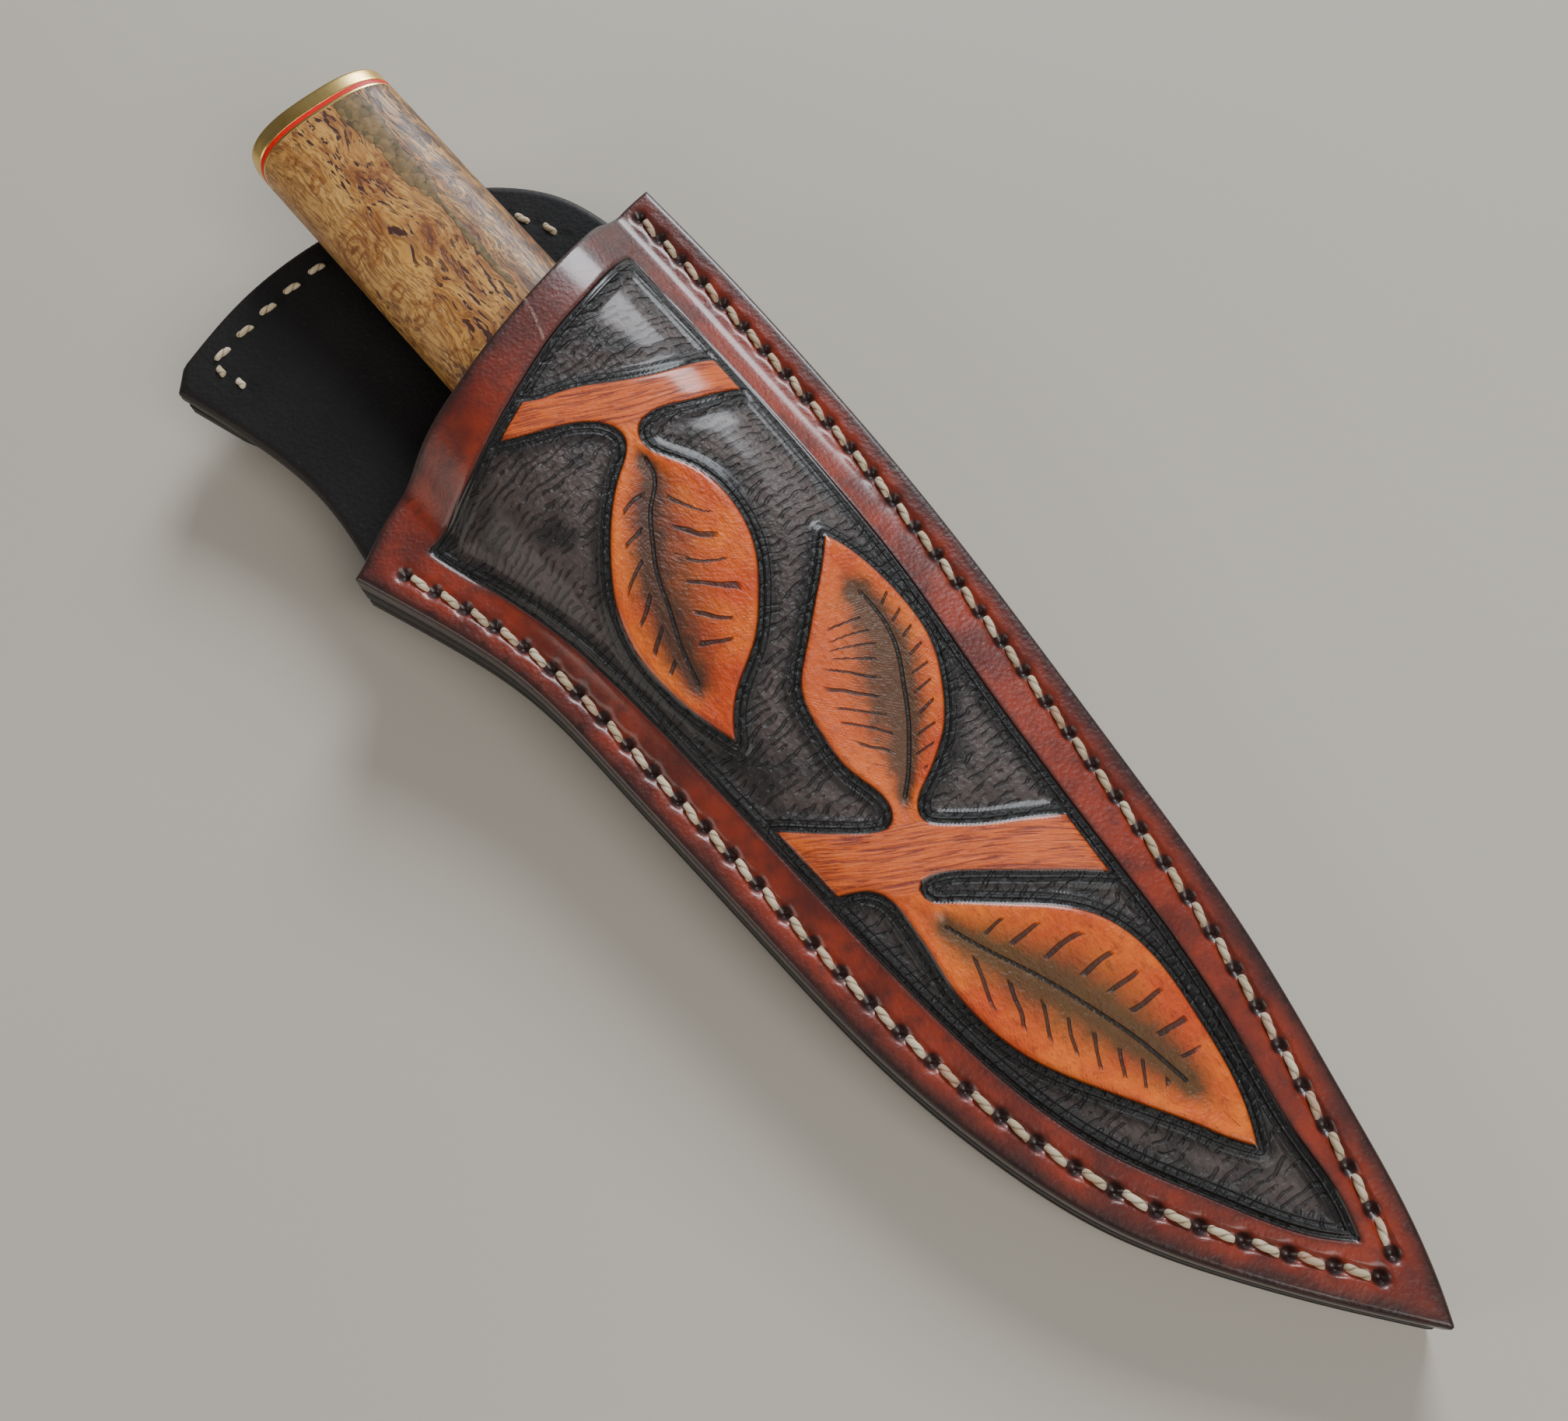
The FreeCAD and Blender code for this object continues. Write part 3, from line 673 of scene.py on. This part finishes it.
left = join(belly_line, smooth_curve(FLAP_BELLY_SIDE, 60))
end = join(left[-1:], smooth_curve(FLAP_TOP, 160), spine_line[-1:])
flat = ruled_sheet(left, spine_line, end, 240, 90)
face = flat.reshape(-1, 2)
to_rim = np.abs(signed_distance(face, join(left, end[1:], spine_line[::-1])))
rounding = rounded(to_rim, RIM_ROUNDING)
loop_holes = join(awl_holes(LOOP_TOP_SEAM), awl_holes(LOOP_RETURN_SEAM))
to_awl = pricks(face, join(belly_holes, spine_holes, loop_holes, awl_holes(LOOP_LOW_SEAM)))
covered = face[:, 1] < 150
top_z = LEATHER - np.where(covered, 0, rounding) - 0.5 * groove(to_awl, 0.7)
to_seam = np.minimum(nearest(face, belly_holes)[0], nearest(face, spine_holes)[0])
low_z = rounding + 0.5 * groove(to_awl, 0.7) + rise(1.25 - to_seam, 0, 0.6)
points, faces = thick_sheet(lifted(flat, top_z), lifted(flat, low_z))

dyed, wire, feed = surface("dyed_leather", Specular_IOR_Level=0.35)
mm = wire.measure("mm", vector=True)
nap = mm.noise(0.5, 4.0, 0.7)
cloud = mm.noise(14.0, 3.0)
rubbed = wire.measure("to_rim").fall(0.3, 1.6)
specks = mm.noise(1.0, 3.0, 0.7).rise(0.60, 0.72) * 0.5
colour = cloud.rise(0.3, 0.7).tint(rgb(10, 9, 10), rgb(20, 17, 18))
colour = specks.tint(colour, rgb(46, 38, 37))
colour = rubbed.tint(colour, rgb(26, 18, 15))
colour = wire.measure("to_awl").rise(0.5, 1.1, 0.8, 0.0).tint(colour, rgb(8, 6, 6))
height = nap * 0.16 + mm.pebbles(0.9) * 0.10 + mm.noise(3.0, 2.0) * 0.1
feed(colour=colour, roughness=0.74 + nap * 0.12 - rubbed * 0.3, height=height * (1 - rubbed * 0.7))
add_piece("back_panel", points, faces, lay, dyed, "sheath", "dyed_leather",
          to_rim=np.tile(to_rim, 2), to_awl=np.tile(to_awl, 2))

# --- belly_seam_thread and the other three rows ----------------------------
# Waxed two-ply thread, saddle-stitched: each stitch dips into an awl hole at both ends, on the
# front and again on the back. The sheath's two seams, the belt loop's top row and its low row.

THREAD_R = 0.60
STITCH_SETBACK = 0.88            # the ends of each stitch stay inside their holes
STITCH_LEAN = 0.32
STITCH_DIP = 1.5
STITCH_TWIST = 2.9              # how far the two plies turn over half a stitch
AROUND = 12
LENGTHWISE = 15
chance = np.random.default_rng(7)


def stitches(holes, height, outward):
    """Tubes from hole to hole: a round section with two lobes that turn along it, ends sunk.

    The middle line stands at height and drops by STITCH_DIP with the seventh power of the way to
    either end, where the tube also thins.
    """
    run = np.diff(holes, axis=0)
    length = np.linalg.norm(run, axis=1)
    run = run / length[:, None]
    beside = np.stack([run[:, 1], -run[:, 0]], 1)
    count = len(run)
    t = np.linspace(-1, 1, LENGTHWISE)
    turn = np.linspace(0, 2 * np.pi, AROUND, endpoint=False)
    lean = (STITCH_LEAN + chance.uniform(-0.1, 0.1, count))[:, None] * outward
    way = t * (length[:, None] / 2 - STITCH_SETBACK)
    middle = (holes[:-1] + holes[1:])[:, None] / 2 + run[:, None] * way[..., None]
    middle = middle + beside[:, None] * (lean * t)[..., None]
    depth = height + chance.uniform(-0.05, 0.05, count)[:, None] - STITCH_DIP * np.abs(t) ** 7
    radius = THREAD_R * (1.02 - 0.45 * np.abs(t) ** 3.5)
    twist = chance.uniform(0, np.pi, count)[:, None, None] + t[None, :, None] * STITCH_TWIST
    lobes = 0.80 + 0.22 * np.abs(np.cos(turn - twist))
    side = radius[:, None] * lobes * np.cos(turn)
    up = radius[:, None] * lobes * np.sin(turn)
    flat_at = middle[:, :, None] + beside[:, None, None] * side[..., None]
    z = depth[..., None] + up
    points = np.concatenate([flat_at, z[..., None]], -1)
    # crease: 1 on the crown of a ply, 0 in the groove between the two, where shade is painted
    crease = np.broadcast_to(np.abs(np.cos(turn - twist)), side.shape)
    tone = np.broadcast_to(chance.uniform(0, 1, count)[:, None, None], side.shape)
    return points, crease, tone


def thread_row(rows):
    """Every stitch of some rows as one mesh: each is a tube closed by a cap at both ends."""
    points = np.concatenate([row[0] for row in rows])
    count = len(points)
    ring = np.arange(AROUND)
    corner = ring + np.arange(LENGTHWISE - 1)[:, None] * AROUND
    after = (ring + 1) % AROUND + np.arange(LENGTHWISE - 1)[:, None] * AROUND
    tube = np.stack([corner, corner + AROUND, after + AROUND, after], -1).reshape(-1, 4)
    first = np.arange(count)[:, None, None] * AROUND * LENGTHWISE
    faces = (tube + first).reshape(-1, 4).tolist()
    caps = first[:, 0] + ring
    faces += caps.tolist() + (caps[:, ::-1] + AROUND * (LENGTHWISE - 1)).tolist()
    crease = np.concatenate([row[1] for row in rows]).ravel()
    tone = np.concatenate([row[2] for row in rows]).ravel()
    return points.reshape(-1, 3), faces, crease, tone


def turned_over(row):
    """A row on the back: the front's heights turned to hang below the leather."""
    points = row[0][:, :, ::-1].copy()
    points[..., 2] *= -1
    return points, row[1][:, :, ::-1], row[2]


waxed, wire, feed = surface("thread", Specular_IOR_Level=0.3, Sheen_Weight=0.15)
mm = wire.measure("mm", vector=True)
crease = wire.measure("crease")
tone = wire.measure("tone")
fibre = mm.noise(0.28, 3.0, 0.6)
colour = tone.rise(0, 1).tint(rgb(196, 178, 146), rgb(226, 212, 184))
# painted shade: dark brown in the groove between the two plies
colour = crease.rise(0.0, 0.5, 0.85, 0.0).tint(colour, rgb(92, 62, 38))
stain = (tone + mm.noise(12.0, 2.0)).rise(1.28, 1.5) * 0.55
colour = stain.tint(colour, rgb(150, 84, 44))
feed(colour=colour, roughness=0.62 + fibre * 0.2, height=fibre * 0.12)
# each row's runs of holes, and the heights of its stitches' middle lines in front and behind
ROWS = {
    "belly_seam_thread": ([belly_holes], FLANGE - 0.12, 0.62),
    "spine_seam_thread": ([spine_holes], FLANGE - 0.12, 0.62),
    "loop_top_thread": ([awl_holes(LOOP_TOP_SEAM), awl_holes(LOOP_RETURN_SEAM)], LEATHER + 0.02, -2.92),
    "loop_low_thread": ([awl_holes(LOOP_LOW_SEAM)], LEATHER - 0.62, -2.92)}
for name, (runs, front, back) in ROWS.items():
    made = [stitches(run, front, 1) for run in runs]
    made += [turned_over(stitches(run, -back, 1)) for run in runs]
    points, faces, crease_at, tone_at = thread_row(made)
    add_piece(name, points, faces, lay, waxed, "sheath", "thread", crease=crease_at, tone=tone_at)

# --- belly_welt and spine_welt ---------------------------------------------
# Strips of the same leather glued and sewn between the panels, which keep the blade off the
# stitches. Only their outer edges show, rubbed smooth and dyed with the rest of the edge.

WELT_WIDTH = 8.5
WELT_SPLIT_X = -0.5
WELT_ROUNDING = 0.22

burnished, wire, feed = surface("edge_leather", Specular_IOR_Level=0.4, Coat_Weight=0.08, Coat_Roughness=0.35)
mm = wire.measure("mm", vector=True)
fibres = mm.scaled(0.35, 0.35, 2.5).noise(0.9, 4.0, 0.6)
colour = fibres.rise(0.3, 0.7).tint(rgb(9, 5, 4), rgb(24, 13, 8))
feed(colour=colour, roughness=0.42 + fibres * 0.25, height=fibres * 0.18 + mm.noise(3.0, 2.0) * 0.1)
for name, line, inward in (("belly_welt", belly_line, -1), ("spine_welt", spine_line, 1)):
    inner = smooth_curve((line + WELT_WIDTH * inward_normals(line, inward))[::24], 240)
    split = np.minimum if inward < 0 else np.maximum
    inner[:, 0] = split(inner[:, 0], WELT_SPLIT_X)
    sides = (line, inner) if inward < 0 else (inner, line)
    across = rim_spacing(1.0, 10, 0.05)[0][:, None]
    flat = sides[0][2:, None] + (sides[1] - sides[0])[2:, None] * across
    to_edge = np.minimum(across[:, 0], across[::-1, 0]) * WELT_WIDTH
    rounding = np.broadcast_to(WELT_ROUNDING * (1 - rise(to_edge, 0, WELT_ROUNDING * 2)), flat.shape[:2])
    points, faces = thick_sheet(lifted(flat, LEATHER + WELT - rounding), lifted(flat, LEATHER + rounding))
    add_piece(name, points, faces, lay, burnished, "sheath", "edge_leather")

# --- belt_loop -------------------------------------------------------------
# A strap of 2.8 mm leather on the back, sewn down at its foot and along the flap's top, and bent
# away between them so that a belt passes through.

LOOP_LEATHER = 2.8
LOOP_GAP = 6.2
LOOP_SLOT = (158, 207)
LOOP_RAMP = 6.5
LOOP_ROUNDING = 0.6
LOOP_BELLY_SIDE = [(-31, 142), (-34, 176), (-38, 200), (-45.2, 217)]
LOOP_SPINE_SIDE = [(18, 142), (20.5, 176), (24.8, 213)]
flap_top = smooth_curve(FLAP_TOP, 160)
left = join(smooth_curve(LOOP_BELLY_SIDE, 90), [(-48.6, 227.6)])
stop = np.argmin(np.abs(flap_top[:, 1] - 213) + (flap_top[:, 0] < 0) * 50)
right = smooth_curve(LOOP_SPINE_SIDE, 90)
end = join(left[-1:], flap_top[:stop], right[-1:])
u = rim_spacing(1.0, 150, 0.006)[0]
a = at_lengths(left, u * along(left)[-1])
b = at_lengths(right, u * along(right)[-1])
width = np.linalg.norm(b - a, axis=1)
v = rim_spacing(width, 70, LOOP_ROUNDING) / width[:, None]
chord = end[0] + (end[-1] - end[0]) * v[..., None]
flat = a[:, None] + (b - a)[:, None] * v[..., None]
flat = flat + (u ** 3)[:, None, None] * (at_lengths(end, v * along(end)[-1]) - chord)
face = flat.reshape(-1, 2)
low, high = LOOP_SLOT
bowed = rise(face[:, 1], low, low + LOOP_RAMP) * (1 - rise(face[:, 1], high - LOOP_RAMP, high))
to_rim = np.abs(signed_distance(face, join(left, end[1:-1], right[::-1])))
rounding = rounded(to_rim, LOOP_ROUNDING)
to_awl = pricks(face, join(loop_holes, awl_holes(LOOP_LOW_SEAM)))
upper = -LOOP_GAP * bowed - rounding * (bowed > 0.02)
lower = -LOOP_GAP * bowed - LOOP_LEATHER + rounding + 0.4 * groove(to_awl, 0.7)
points, faces = thick_sheet(lifted(flat, upper), lifted(flat, lower))
add_piece("belt_loop", points, faces, lay, dyed, "sheath", "dyed_leather",
          to_rim=np.tile(to_rim, 2), to_awl=np.tile(to_awl, 2))

# --- handle_block ----------------------------------------------------------
# One block of stabilised curly burl, shaped to a flattened oval that swells towards the butt,
# sanded fine and oiled: golden wood with dark brown flecks, curls, and eyes on its belly side.

KNIFE_TILT = np.radians(1.9)
GUARD_AT = (-2.3, 133.0, 8.58)
GUARD_END = 5.0
SPACER = 0.9
SHIM = 0.5
WOOD_START = GUARD_END + SPACER + SHIM
WOOD_END = 112.6
HANDLE_STATIONS = np.array([(0, 12.5, 5.05), (30, 12.9, 5.95), (64, 13.2, 7.1), (92, 13.3, 7.45),
                            (112.6, 13.4, 7.5), (122, 13.4, 7.5)])
HANDLE_FULLNESS = 2.7
AROUND_HANDLE = 144


def seat(points):
    """Knife's millimetres to the frame's metres: tipped in the sheath, moved to it, then laid."""
    return lay(np.asarray(points, float) @ about_x(KNIFE_TILT).T + GUARD_AT)


def ovals(heights, insets):
    """Rings of a superellipse at heights up the handle, each drawn in by its inset."""
    half = spline(HANDLE_STATIONS[:, 0], HANDLE_STATIONS[:, 1:], np.asarray(heights, float))
    half = half - np.asarray(insets, float)[:, None]
    turn = np.linspace(0, 2 * np.pi, AROUND_HANDLE, endpoint=False)
    power = 2 / HANDLE_FULLNESS
    x = half[:, :1] * np.sign(np.cos(turn)) * np.abs(np.cos(turn)) ** power
    z = half[:, 1:] * np.sign(np.sin(turn)) * np.abs(np.sin(turn)) ** power
    y = np.broadcast_to(np.asarray(heights, float)[:, None], x.shape)
    return np.stack([x, y, z], -1)


def turned(rings):
    """A closed form through rings that follow each other up Y, with a flat face at both ends."""
    rows, columns = rings.shape[:2]
    place = np.arange(columns)
    corner = np.arange(rows - 1)[:, None] * columns + place
    after = np.arange(rows - 1)[:, None] * columns + (place + 1) % columns
    faces = np.stack([corner, corner + columns, after + columns, after], -1).reshape(-1, 4).tolist()
    faces += [place.tolist(), (place[::-1] + columns * (rows - 1)).tolist()]
    return rings.reshape(-1, 3), faces


def block(start, end, rounding):
    """A slice of the handle's form from start to end, its two rims rounded."""
    turn = np.linspace(0, np.pi / 2, 5)
    ease = rounding * (1 - np.sin(turn))
    lift = rounding * (1 - np.cos(turn))
    count = max(3, int((end - start) / 1.1))
    middle = np.linspace(start + rounding, end - rounding, count)[1:-1]
    heights = np.concatenate([start + lift, middle, end - lift[::-1]])
    return turned(ovals(heights, np.concatenate([ease, np.zeros(len(middle)), ease[::-1]])))


burl, wire, feed = surface("burl_wood", Specular_IOR_Level=0.5, Coat_Roughness=0.22)
mm = wire.measure("mm", vector=True)
sway = wire.node("TexNoise", {"Vector": mm.scaled(0.10, 0.05, 0.10), "Scale": 1.0, "Detail": 2.0}, out=1)
swayed = mm.scaled(1.0, 0.26, 1.0).moved(sway.scaled(9.0, 5.0, 9.0))
streak = swayed.noise(2.2, 8.0, 0.62)
curl = mm.scaled(1.0, 0.6, 1.0).noise(7.0, 3.0, 0.55)
curls = wire.math("SINE", curl * 62.0)
belly_side = mm.axis(0).fall(-8.5, -4.0)
spine_side = mm.axis(0).rise(2.0, 8.0)
golden = streak.rise(0.34, 0.62).tint(rgb(150, 92, 36), rgb(204, 152, 76))
golden = (belly_side * curl.rise(0.35, 0.6) * 0.6).tint(golden, rgb(216, 170, 100))
golden = (curls.rise(-0.5, -1.0) * (0.15 + belly_side * 0.2)).tint(golden, rgb(132, 74, 26))
hairs = swayed.scaled(2.4, 0.9, 2.4).noise(1.0, 3.0, 0.6)
golden = (hairs.rise(0.47, 0.58) * 0.62).tint(golden, rgb(112, 58, 20))
dashes = swayed.scaled(1.25, 1.0, 1.25).noise(0.8, 2.0, 0.5).rise(0.56, 0.61)
middle_band = 0.35 + 0.65 * (swayed.noise(9.0, 2.0) - belly_side * 0.14).rise(0.40, 0.52)
golden = (dashes * middle_band).tint(golden, rgb(66, 26, 8))
streaks = streak.rise(0.42, 0.32) * (0.8 - belly_side * 0.5)
golden = streaks.tint(golden, rgb(96, 46, 14))
purple = swayed.scaled(2.6, 0.8, 2.6).noise(1.0, 4.0, 0.6).rise(0.46, 0.54) * spine_side
golden = (purple * 0.85).tint(golden, rgb(70, 54, 44))
# eyes: where each one is across and along the handle, and its size
EYES = [(-10.5, 70, 2.4), (-10, 76.5, 2.0), (-10.5, 88, 2.6), (-9.5, 101, 1.8), (-1, 95, 2.0), (-11, 60, 1.6)]
EYE_STRETCH = 0.8
seen_flat = mm.scaled(1, EYE_STRETCH, 0)
for x_at, y_at, size in EYES:
    centre = (x_at, y_at * EYE_STRETCH, 0)
    from_eye = wire.node("VectorMath", {0: seen_flat, 1: centre}, out=1, operation="DISTANCE")
    from_eye = from_eye + curl * 9.0 - 4.5
    rings = wire.math("SINE", from_eye * 4.6).rise(-0.2, 0.9)
    rings = rings * from_eye.fall(size * 0.8, size * 1.7)
    golden = (rings * 0.65).tint(golden, rgb(124, 62, 18))
    golden = from_eye.rise(0.2, 0.7, 0.7, 0.0).tint(golden, rgb(84, 40, 12))
grain_height = streak * 0.08 + hairs * 0.04 - dashes * 0.05
feed(colour=golden, roughness=0.42 + hairs * 0.2, height=grain_height, coat=0.03 + 0.08 * streak)
points, faces = block(WOOD_START, WOOD_END, 0.08)
add_piece("handle_block", points, faces, seat, burl, "knife", "burl_wood")

# --- crack_fill ------------------------------------------------------------
# A natural crack along the top of the burl, filled with crushed grey-green stone in epoxy and
# sanded flush, with ragged dark edges.

FILL_SIDE_A = [(3.6, 64), (3.1, 76), (3.3, 87), (2.0, 92), (2.4, 100), (1.6, 106), (1.8, 112.6)]
FILL_SIDE_B = [(4.6, 64), (5.0, 75), (5.2, 86), (6.4, 92), (6.2, 99), (7.1, 104), (6.6, 112.6)]
FILL_PROUD = 0.02               # its middle stands above the wood, and its edges lie below
FILL_DEPTH = 1.2
a = smooth_curve(FILL_SIDE_A, 220)[:-1]
b = smooth_curve(FILL_SIDE_B, 220)[:-1]
ragged = 0.22 * np.interp(np.arange(219), np.arange(0, 219, 3), chance.uniform(-1, 1, 73))
a[:, 0] += ragged
b[:, 0] += np.roll(ragged, 40)
across = np.linspace(0, 1, 17)[:, None]
flat = a[:, None] + (b - a)[:, None] * across
half = spline(HANDLE_STATIONS[:, 0], HANDLE_STATIONS[:, 1:], flat[..., 1].ravel())
aside = np.abs(flat[..., 0].ravel() / half[:, 0])
skin = half[:, 1] * (1 - aside ** HANDLE_FULLNESS) ** (1 / HANDLE_FULLNESS)
skin = skin.reshape(flat.shape[:2])
inward = np.minimum(across, 1 - across)[:, 0] * (b - a)[:, :1]
upper = lifted(flat, skin + FILL_PROUD * (2 * rise(inward, 0, 0.6) - 1))
points, faces = thick_sheet(upper, lifted(flat, skin - FILL_DEPTH))
stone, wire, feed = surface("stone_fill", Specular_IOR_Level=0.4, Coat_Roughness=0.2, Coat_Weight=0.06)
mm = wire.measure("mm", vector=True)
stretched = mm.scaled(1, 0.8, 1)
lumps = stretched.pebbles(1.5)
shade = stretched.pebbles(1.5, out=1).axis(0)
colour = shade.rise(0.1, 0.9).tint(rgb(92, 80, 40), rgb(136, 108, 66))
colour = (mm.noise(1.6, 4.0, 0.65).rise(0.42, 0.6) * 0.8).tint(colour, rgb(112, 88, 54))
between = lumps.rise(0.5, 0.75) * mm.noise(1.2).rise(0.4, 0.6)
colour = (between * 0.7).tint(colour, rgb(50, 38, 24))
colour = wire.measure("to_side").rise(0.1, 0.55, 0.9, 0.0).tint(colour, rgb(28, 18, 10))
feed(colour=colour, roughness=0.42 + lumps * 0.2, height=lumps * -0.06)
to_side = np.tile(np.broadcast_to(inward, flat.shape[:2]).ravel(), 2)
add_piece("crack_fill", points, faces, seat, stone, "knife", "stone_fill", to_side=to_side)

# --- butt_cap, butt_shim, guard and guard_shim -----------------------------
# Brass: a domed cap peened and glued on the tang's end, a thin shim under the red liner, and at
# the other end a plain oval guard with a shim before the wood. Filed to the wood and polished.

CAP_START = WOOD_END + SHIM + SPACER
CAP_END = CAP_START + 4.2
CAP_DOME_R = 95.0
CAP_FILLET = 0.8
CAP_BREAK = 0.06                # sharp edge taken off where it meets the liner
brass, wire, feed = surface("brass", Metallic=1.0)
mm = wire.measure("mm", vector=True)
tarnish = mm.noise(5.0, 3.0)
scratch = mm.scaled(0.5, 0.5, 3.0).noise(0.35, 4.0, 0.7)
colour = tarnish.rise(0.3, 0.75).tint(rgb(236, 204, 130), rgb(206, 168, 92))
feed(colour=colour, roughness=0.22 + tarnish * 0.14 + scratch * 0.06, height=scratch * 0.012)
turn = np.linspace(0, np.pi / 2, 9)[1:]
shoulder = CAP_END - HANDLE_STATIONS[-1, 1] ** 2 / (2 * CAP_DOME_R)
side_top = shoulder - CAP_FILLET
heights = np.concatenate([[CAP_START, CAP_START + CAP_BREAK], np.linspace(CAP_START + 0.5, side_top, 5),
                          side_top + CAP_FILLET * np.sin(turn)])
insets = np.concatenate([[CAP_BREAK, 0], np.zeros(5), CAP_FILLET * (1 - np.cos(turn))])
sides = ovals(heights, insets)
shrink = np.linspace(1, 0.004, 26)[1:, None, None]
top_ring = sides[-1] * (1, 0, 1)
dome = top_ring * shrink
spread = np.hypot(dome[..., 0], dome[..., 2])
dome[..., 1] = CAP_END - spread ** 2 / (2 * CAP_DOME_R)
blend_in = shrink[..., 0] ** 6
dome[..., 1] = dome[..., 1] * (1 - blend_in) + blend_in * sides[-1][:, 1]
points, faces = turned(np.concatenate([sides, dome]))
add_piece("butt_cap", points, faces, seat, brass, "knife", "brass")
for name, start, end, rounding in (("butt_shim", WOOD_END, WOOD_END + SHIM, 0.05),
                                   ("guard", 0, GUARD_END, 0.5),
                                   ("guard_shim", GUARD_END + SPACER, WOOD_START, 0.05)):
    points, faces = block(start, end, rounding)
    add_piece(name, points, faces, seat, brass, "knife", "brass")

# --- butt_spacer and guard_spacer ------------------------------------------
# Red vulcanised fibre liners, 0.9 mm thick, glued between the wood and the brass.

fibre_red, wire, feed = surface("red_fibre", Specular_IOR_Level=0.3)
mm = wire.measure("mm", vector=True)
speckle = mm.noise(0.5, 3.0, 0.6)
colour = speckle.rise(0.3, 0.75).tint(rgb(236, 18, 3), rgb(206, 12, 2))
feed(colour=colour, roughness=0.36 + speckle * 0.2, height=speckle * 0.03)
for name, start in (("butt_spacer", WOOD_END + SHIM), ("guard_spacer", GUARD_END)):
    points, faces = block(start, start + SPACER, 0.05)
    add_piece(name, points, faces, seat, fibre_red, "knife", "red_fibre")

# --- blade and tang_bedding ------------------------------------------------
# The blade and its tang are one forging of tool steel, flat-ground and satin-finished along its
# length, and the tang is bedded in cured epoxy inside the wood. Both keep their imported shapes.

IN_MM = (1000, 1000, 1000)
steel, wire, feed = surface("blade_steel", Metallic=1.0)
place = wire.node("TexCoord", {}, out=3).scaled(*IN_MM)
satin = place.scaled(0.9, 0.04, 0.9).noise(0.16, 4.0, 0.7)
smudge = place.noise(12.0, 3.0)
colour = satin.rise(0.25, 0.75).tint(rgb(150, 152, 154), rgb(196, 197, 198))
feed(colour=colour, roughness=0.26 + satin * 0.16 + smudge * 0.1, height=satin * 0.02)
epoxy, wire, feed = surface("epoxy", Specular_IOR_Level=0.5)
place = wire.node("TexCoord", {}, out=3).scaled(*IN_MM)
cure = place.noise(2.0, 3.0)
colour = cure.rise(0.3, 0.7).tint(rgb(196, 160, 92), rgb(214, 186, 128))
feed(colour=colour, roughness=0.3 + cure * 0.2)
for name, finish in (("blade", steel), ("tang_bedding", epoxy)):
    node = frame["nodes"][name]
    node.data.materials.clear()
    node.data.materials.append(finish)

# --- table, light and camera -----------------------------------------------
# A plain pale table top at height 0, soft lights as of a bright room, and the camera that looks
# down on the sheath from its belly side.

TABLE_HALF = 5
tabletop = bpy.data.meshes.new("table")
corners = [(-TABLE_HALF, -TABLE_HALF, 0), (TABLE_HALF, -TABLE_HALF, 0),
           (TABLE_HALF, TABLE_HALF, 0), (-TABLE_HALF, TABLE_HALF, 0)]
tabletop.from_pydata(corners, [], [(0, 1, 2, 3)])
table = placed("table", tabletop)
pale, wire, feed = surface("pale_table", Specular_IOR_Level=0.3)
place = wire.node("TexCoord", {}, out=3)
colour = place.noise(0.4, 2.0).rise(0.3, 0.7).tint(rgb(186, 180, 168), rgb(194, 188, 177))
feed(colour=colour, roughness=0.7 + 0.1 * place.noise(0.1))
tabletop.materials.append(pale)


def soft_light(name, at, toward, size, power, tint):
    """A square area light at one place, facing another."""
    lamp = bpy.data.lights.new(name, "AREA")
    lamp.shape = "RECTANGLE"
    lamp.size, lamp.size_y = size
    lamp.energy = power
    lamp.color = tint
    back = np.array(at, float) - np.array(toward, float)
    back /= np.linalg.norm(back)
    side_way = np.cross((0, 0, 1) if abs(back[2]) < 0.99 else (0, 1, 0), back)
    side_way /= np.linalg.norm(side_way)
    turned_to = np.column_stack([side_way, np.cross(back, side_way), back])
    placed(name, lamp).matrix_world = Matrix.Translation(at) @ Matrix(turned_to.tolist()).to_4x4()


soft_light("window", (0.78, 0.62, 0.62), (0, 0.02, 0), (0.45, 0.45), 15, (0.90, 0.95, 1.0))
soft_light("ceiling", (0.05, -0.95, 0.95), (0, 0, 0), (0.8, 0.8), 11, (1.0, 0.97, 0.92))
soft_light("fill", (-0.95, 0.3, 0.45), (0, 0, 0), (0.5, 0.5), 2.5, (1.0, 0.93, 0.84))
world = bpy.data.worlds.new("room")
world.use_nodes = True
sky = world.node_tree.nodes["Background"]
sky.inputs["Color"].default_value = (0.62, 0.64, 0.68, 1)
sky.inputs["Strength"].default_value = 0.20
bpy.context.scene.world = world

CAMERA_AT = (-54.0, 48.0, 219.6)  # over the sheath, in its millimetres
# the camera's right, up and back, in the sheath's own directions
LOOKS = np.array([(0.76794, -0.63857, -0.04982), (0.61032, 0.70591, 0.35943),
                  (-0.19436, -0.30643, 0.93184)]).T
lens = bpy.data.cameras.new("camera")
lens.sensor_width = 36
lens.sensor_fit = "HORIZONTAL"
lens.lens = 35.71
lens.clip_start = 0.01
camera = placed("camera", lens)
facing = Matrix((LAID @ LOOKS).tolist()).to_4x4()
camera.matrix_world = Matrix.Translation(lay(CAMERA_AT)) @ facing
bpy.context.scene.camera = camera
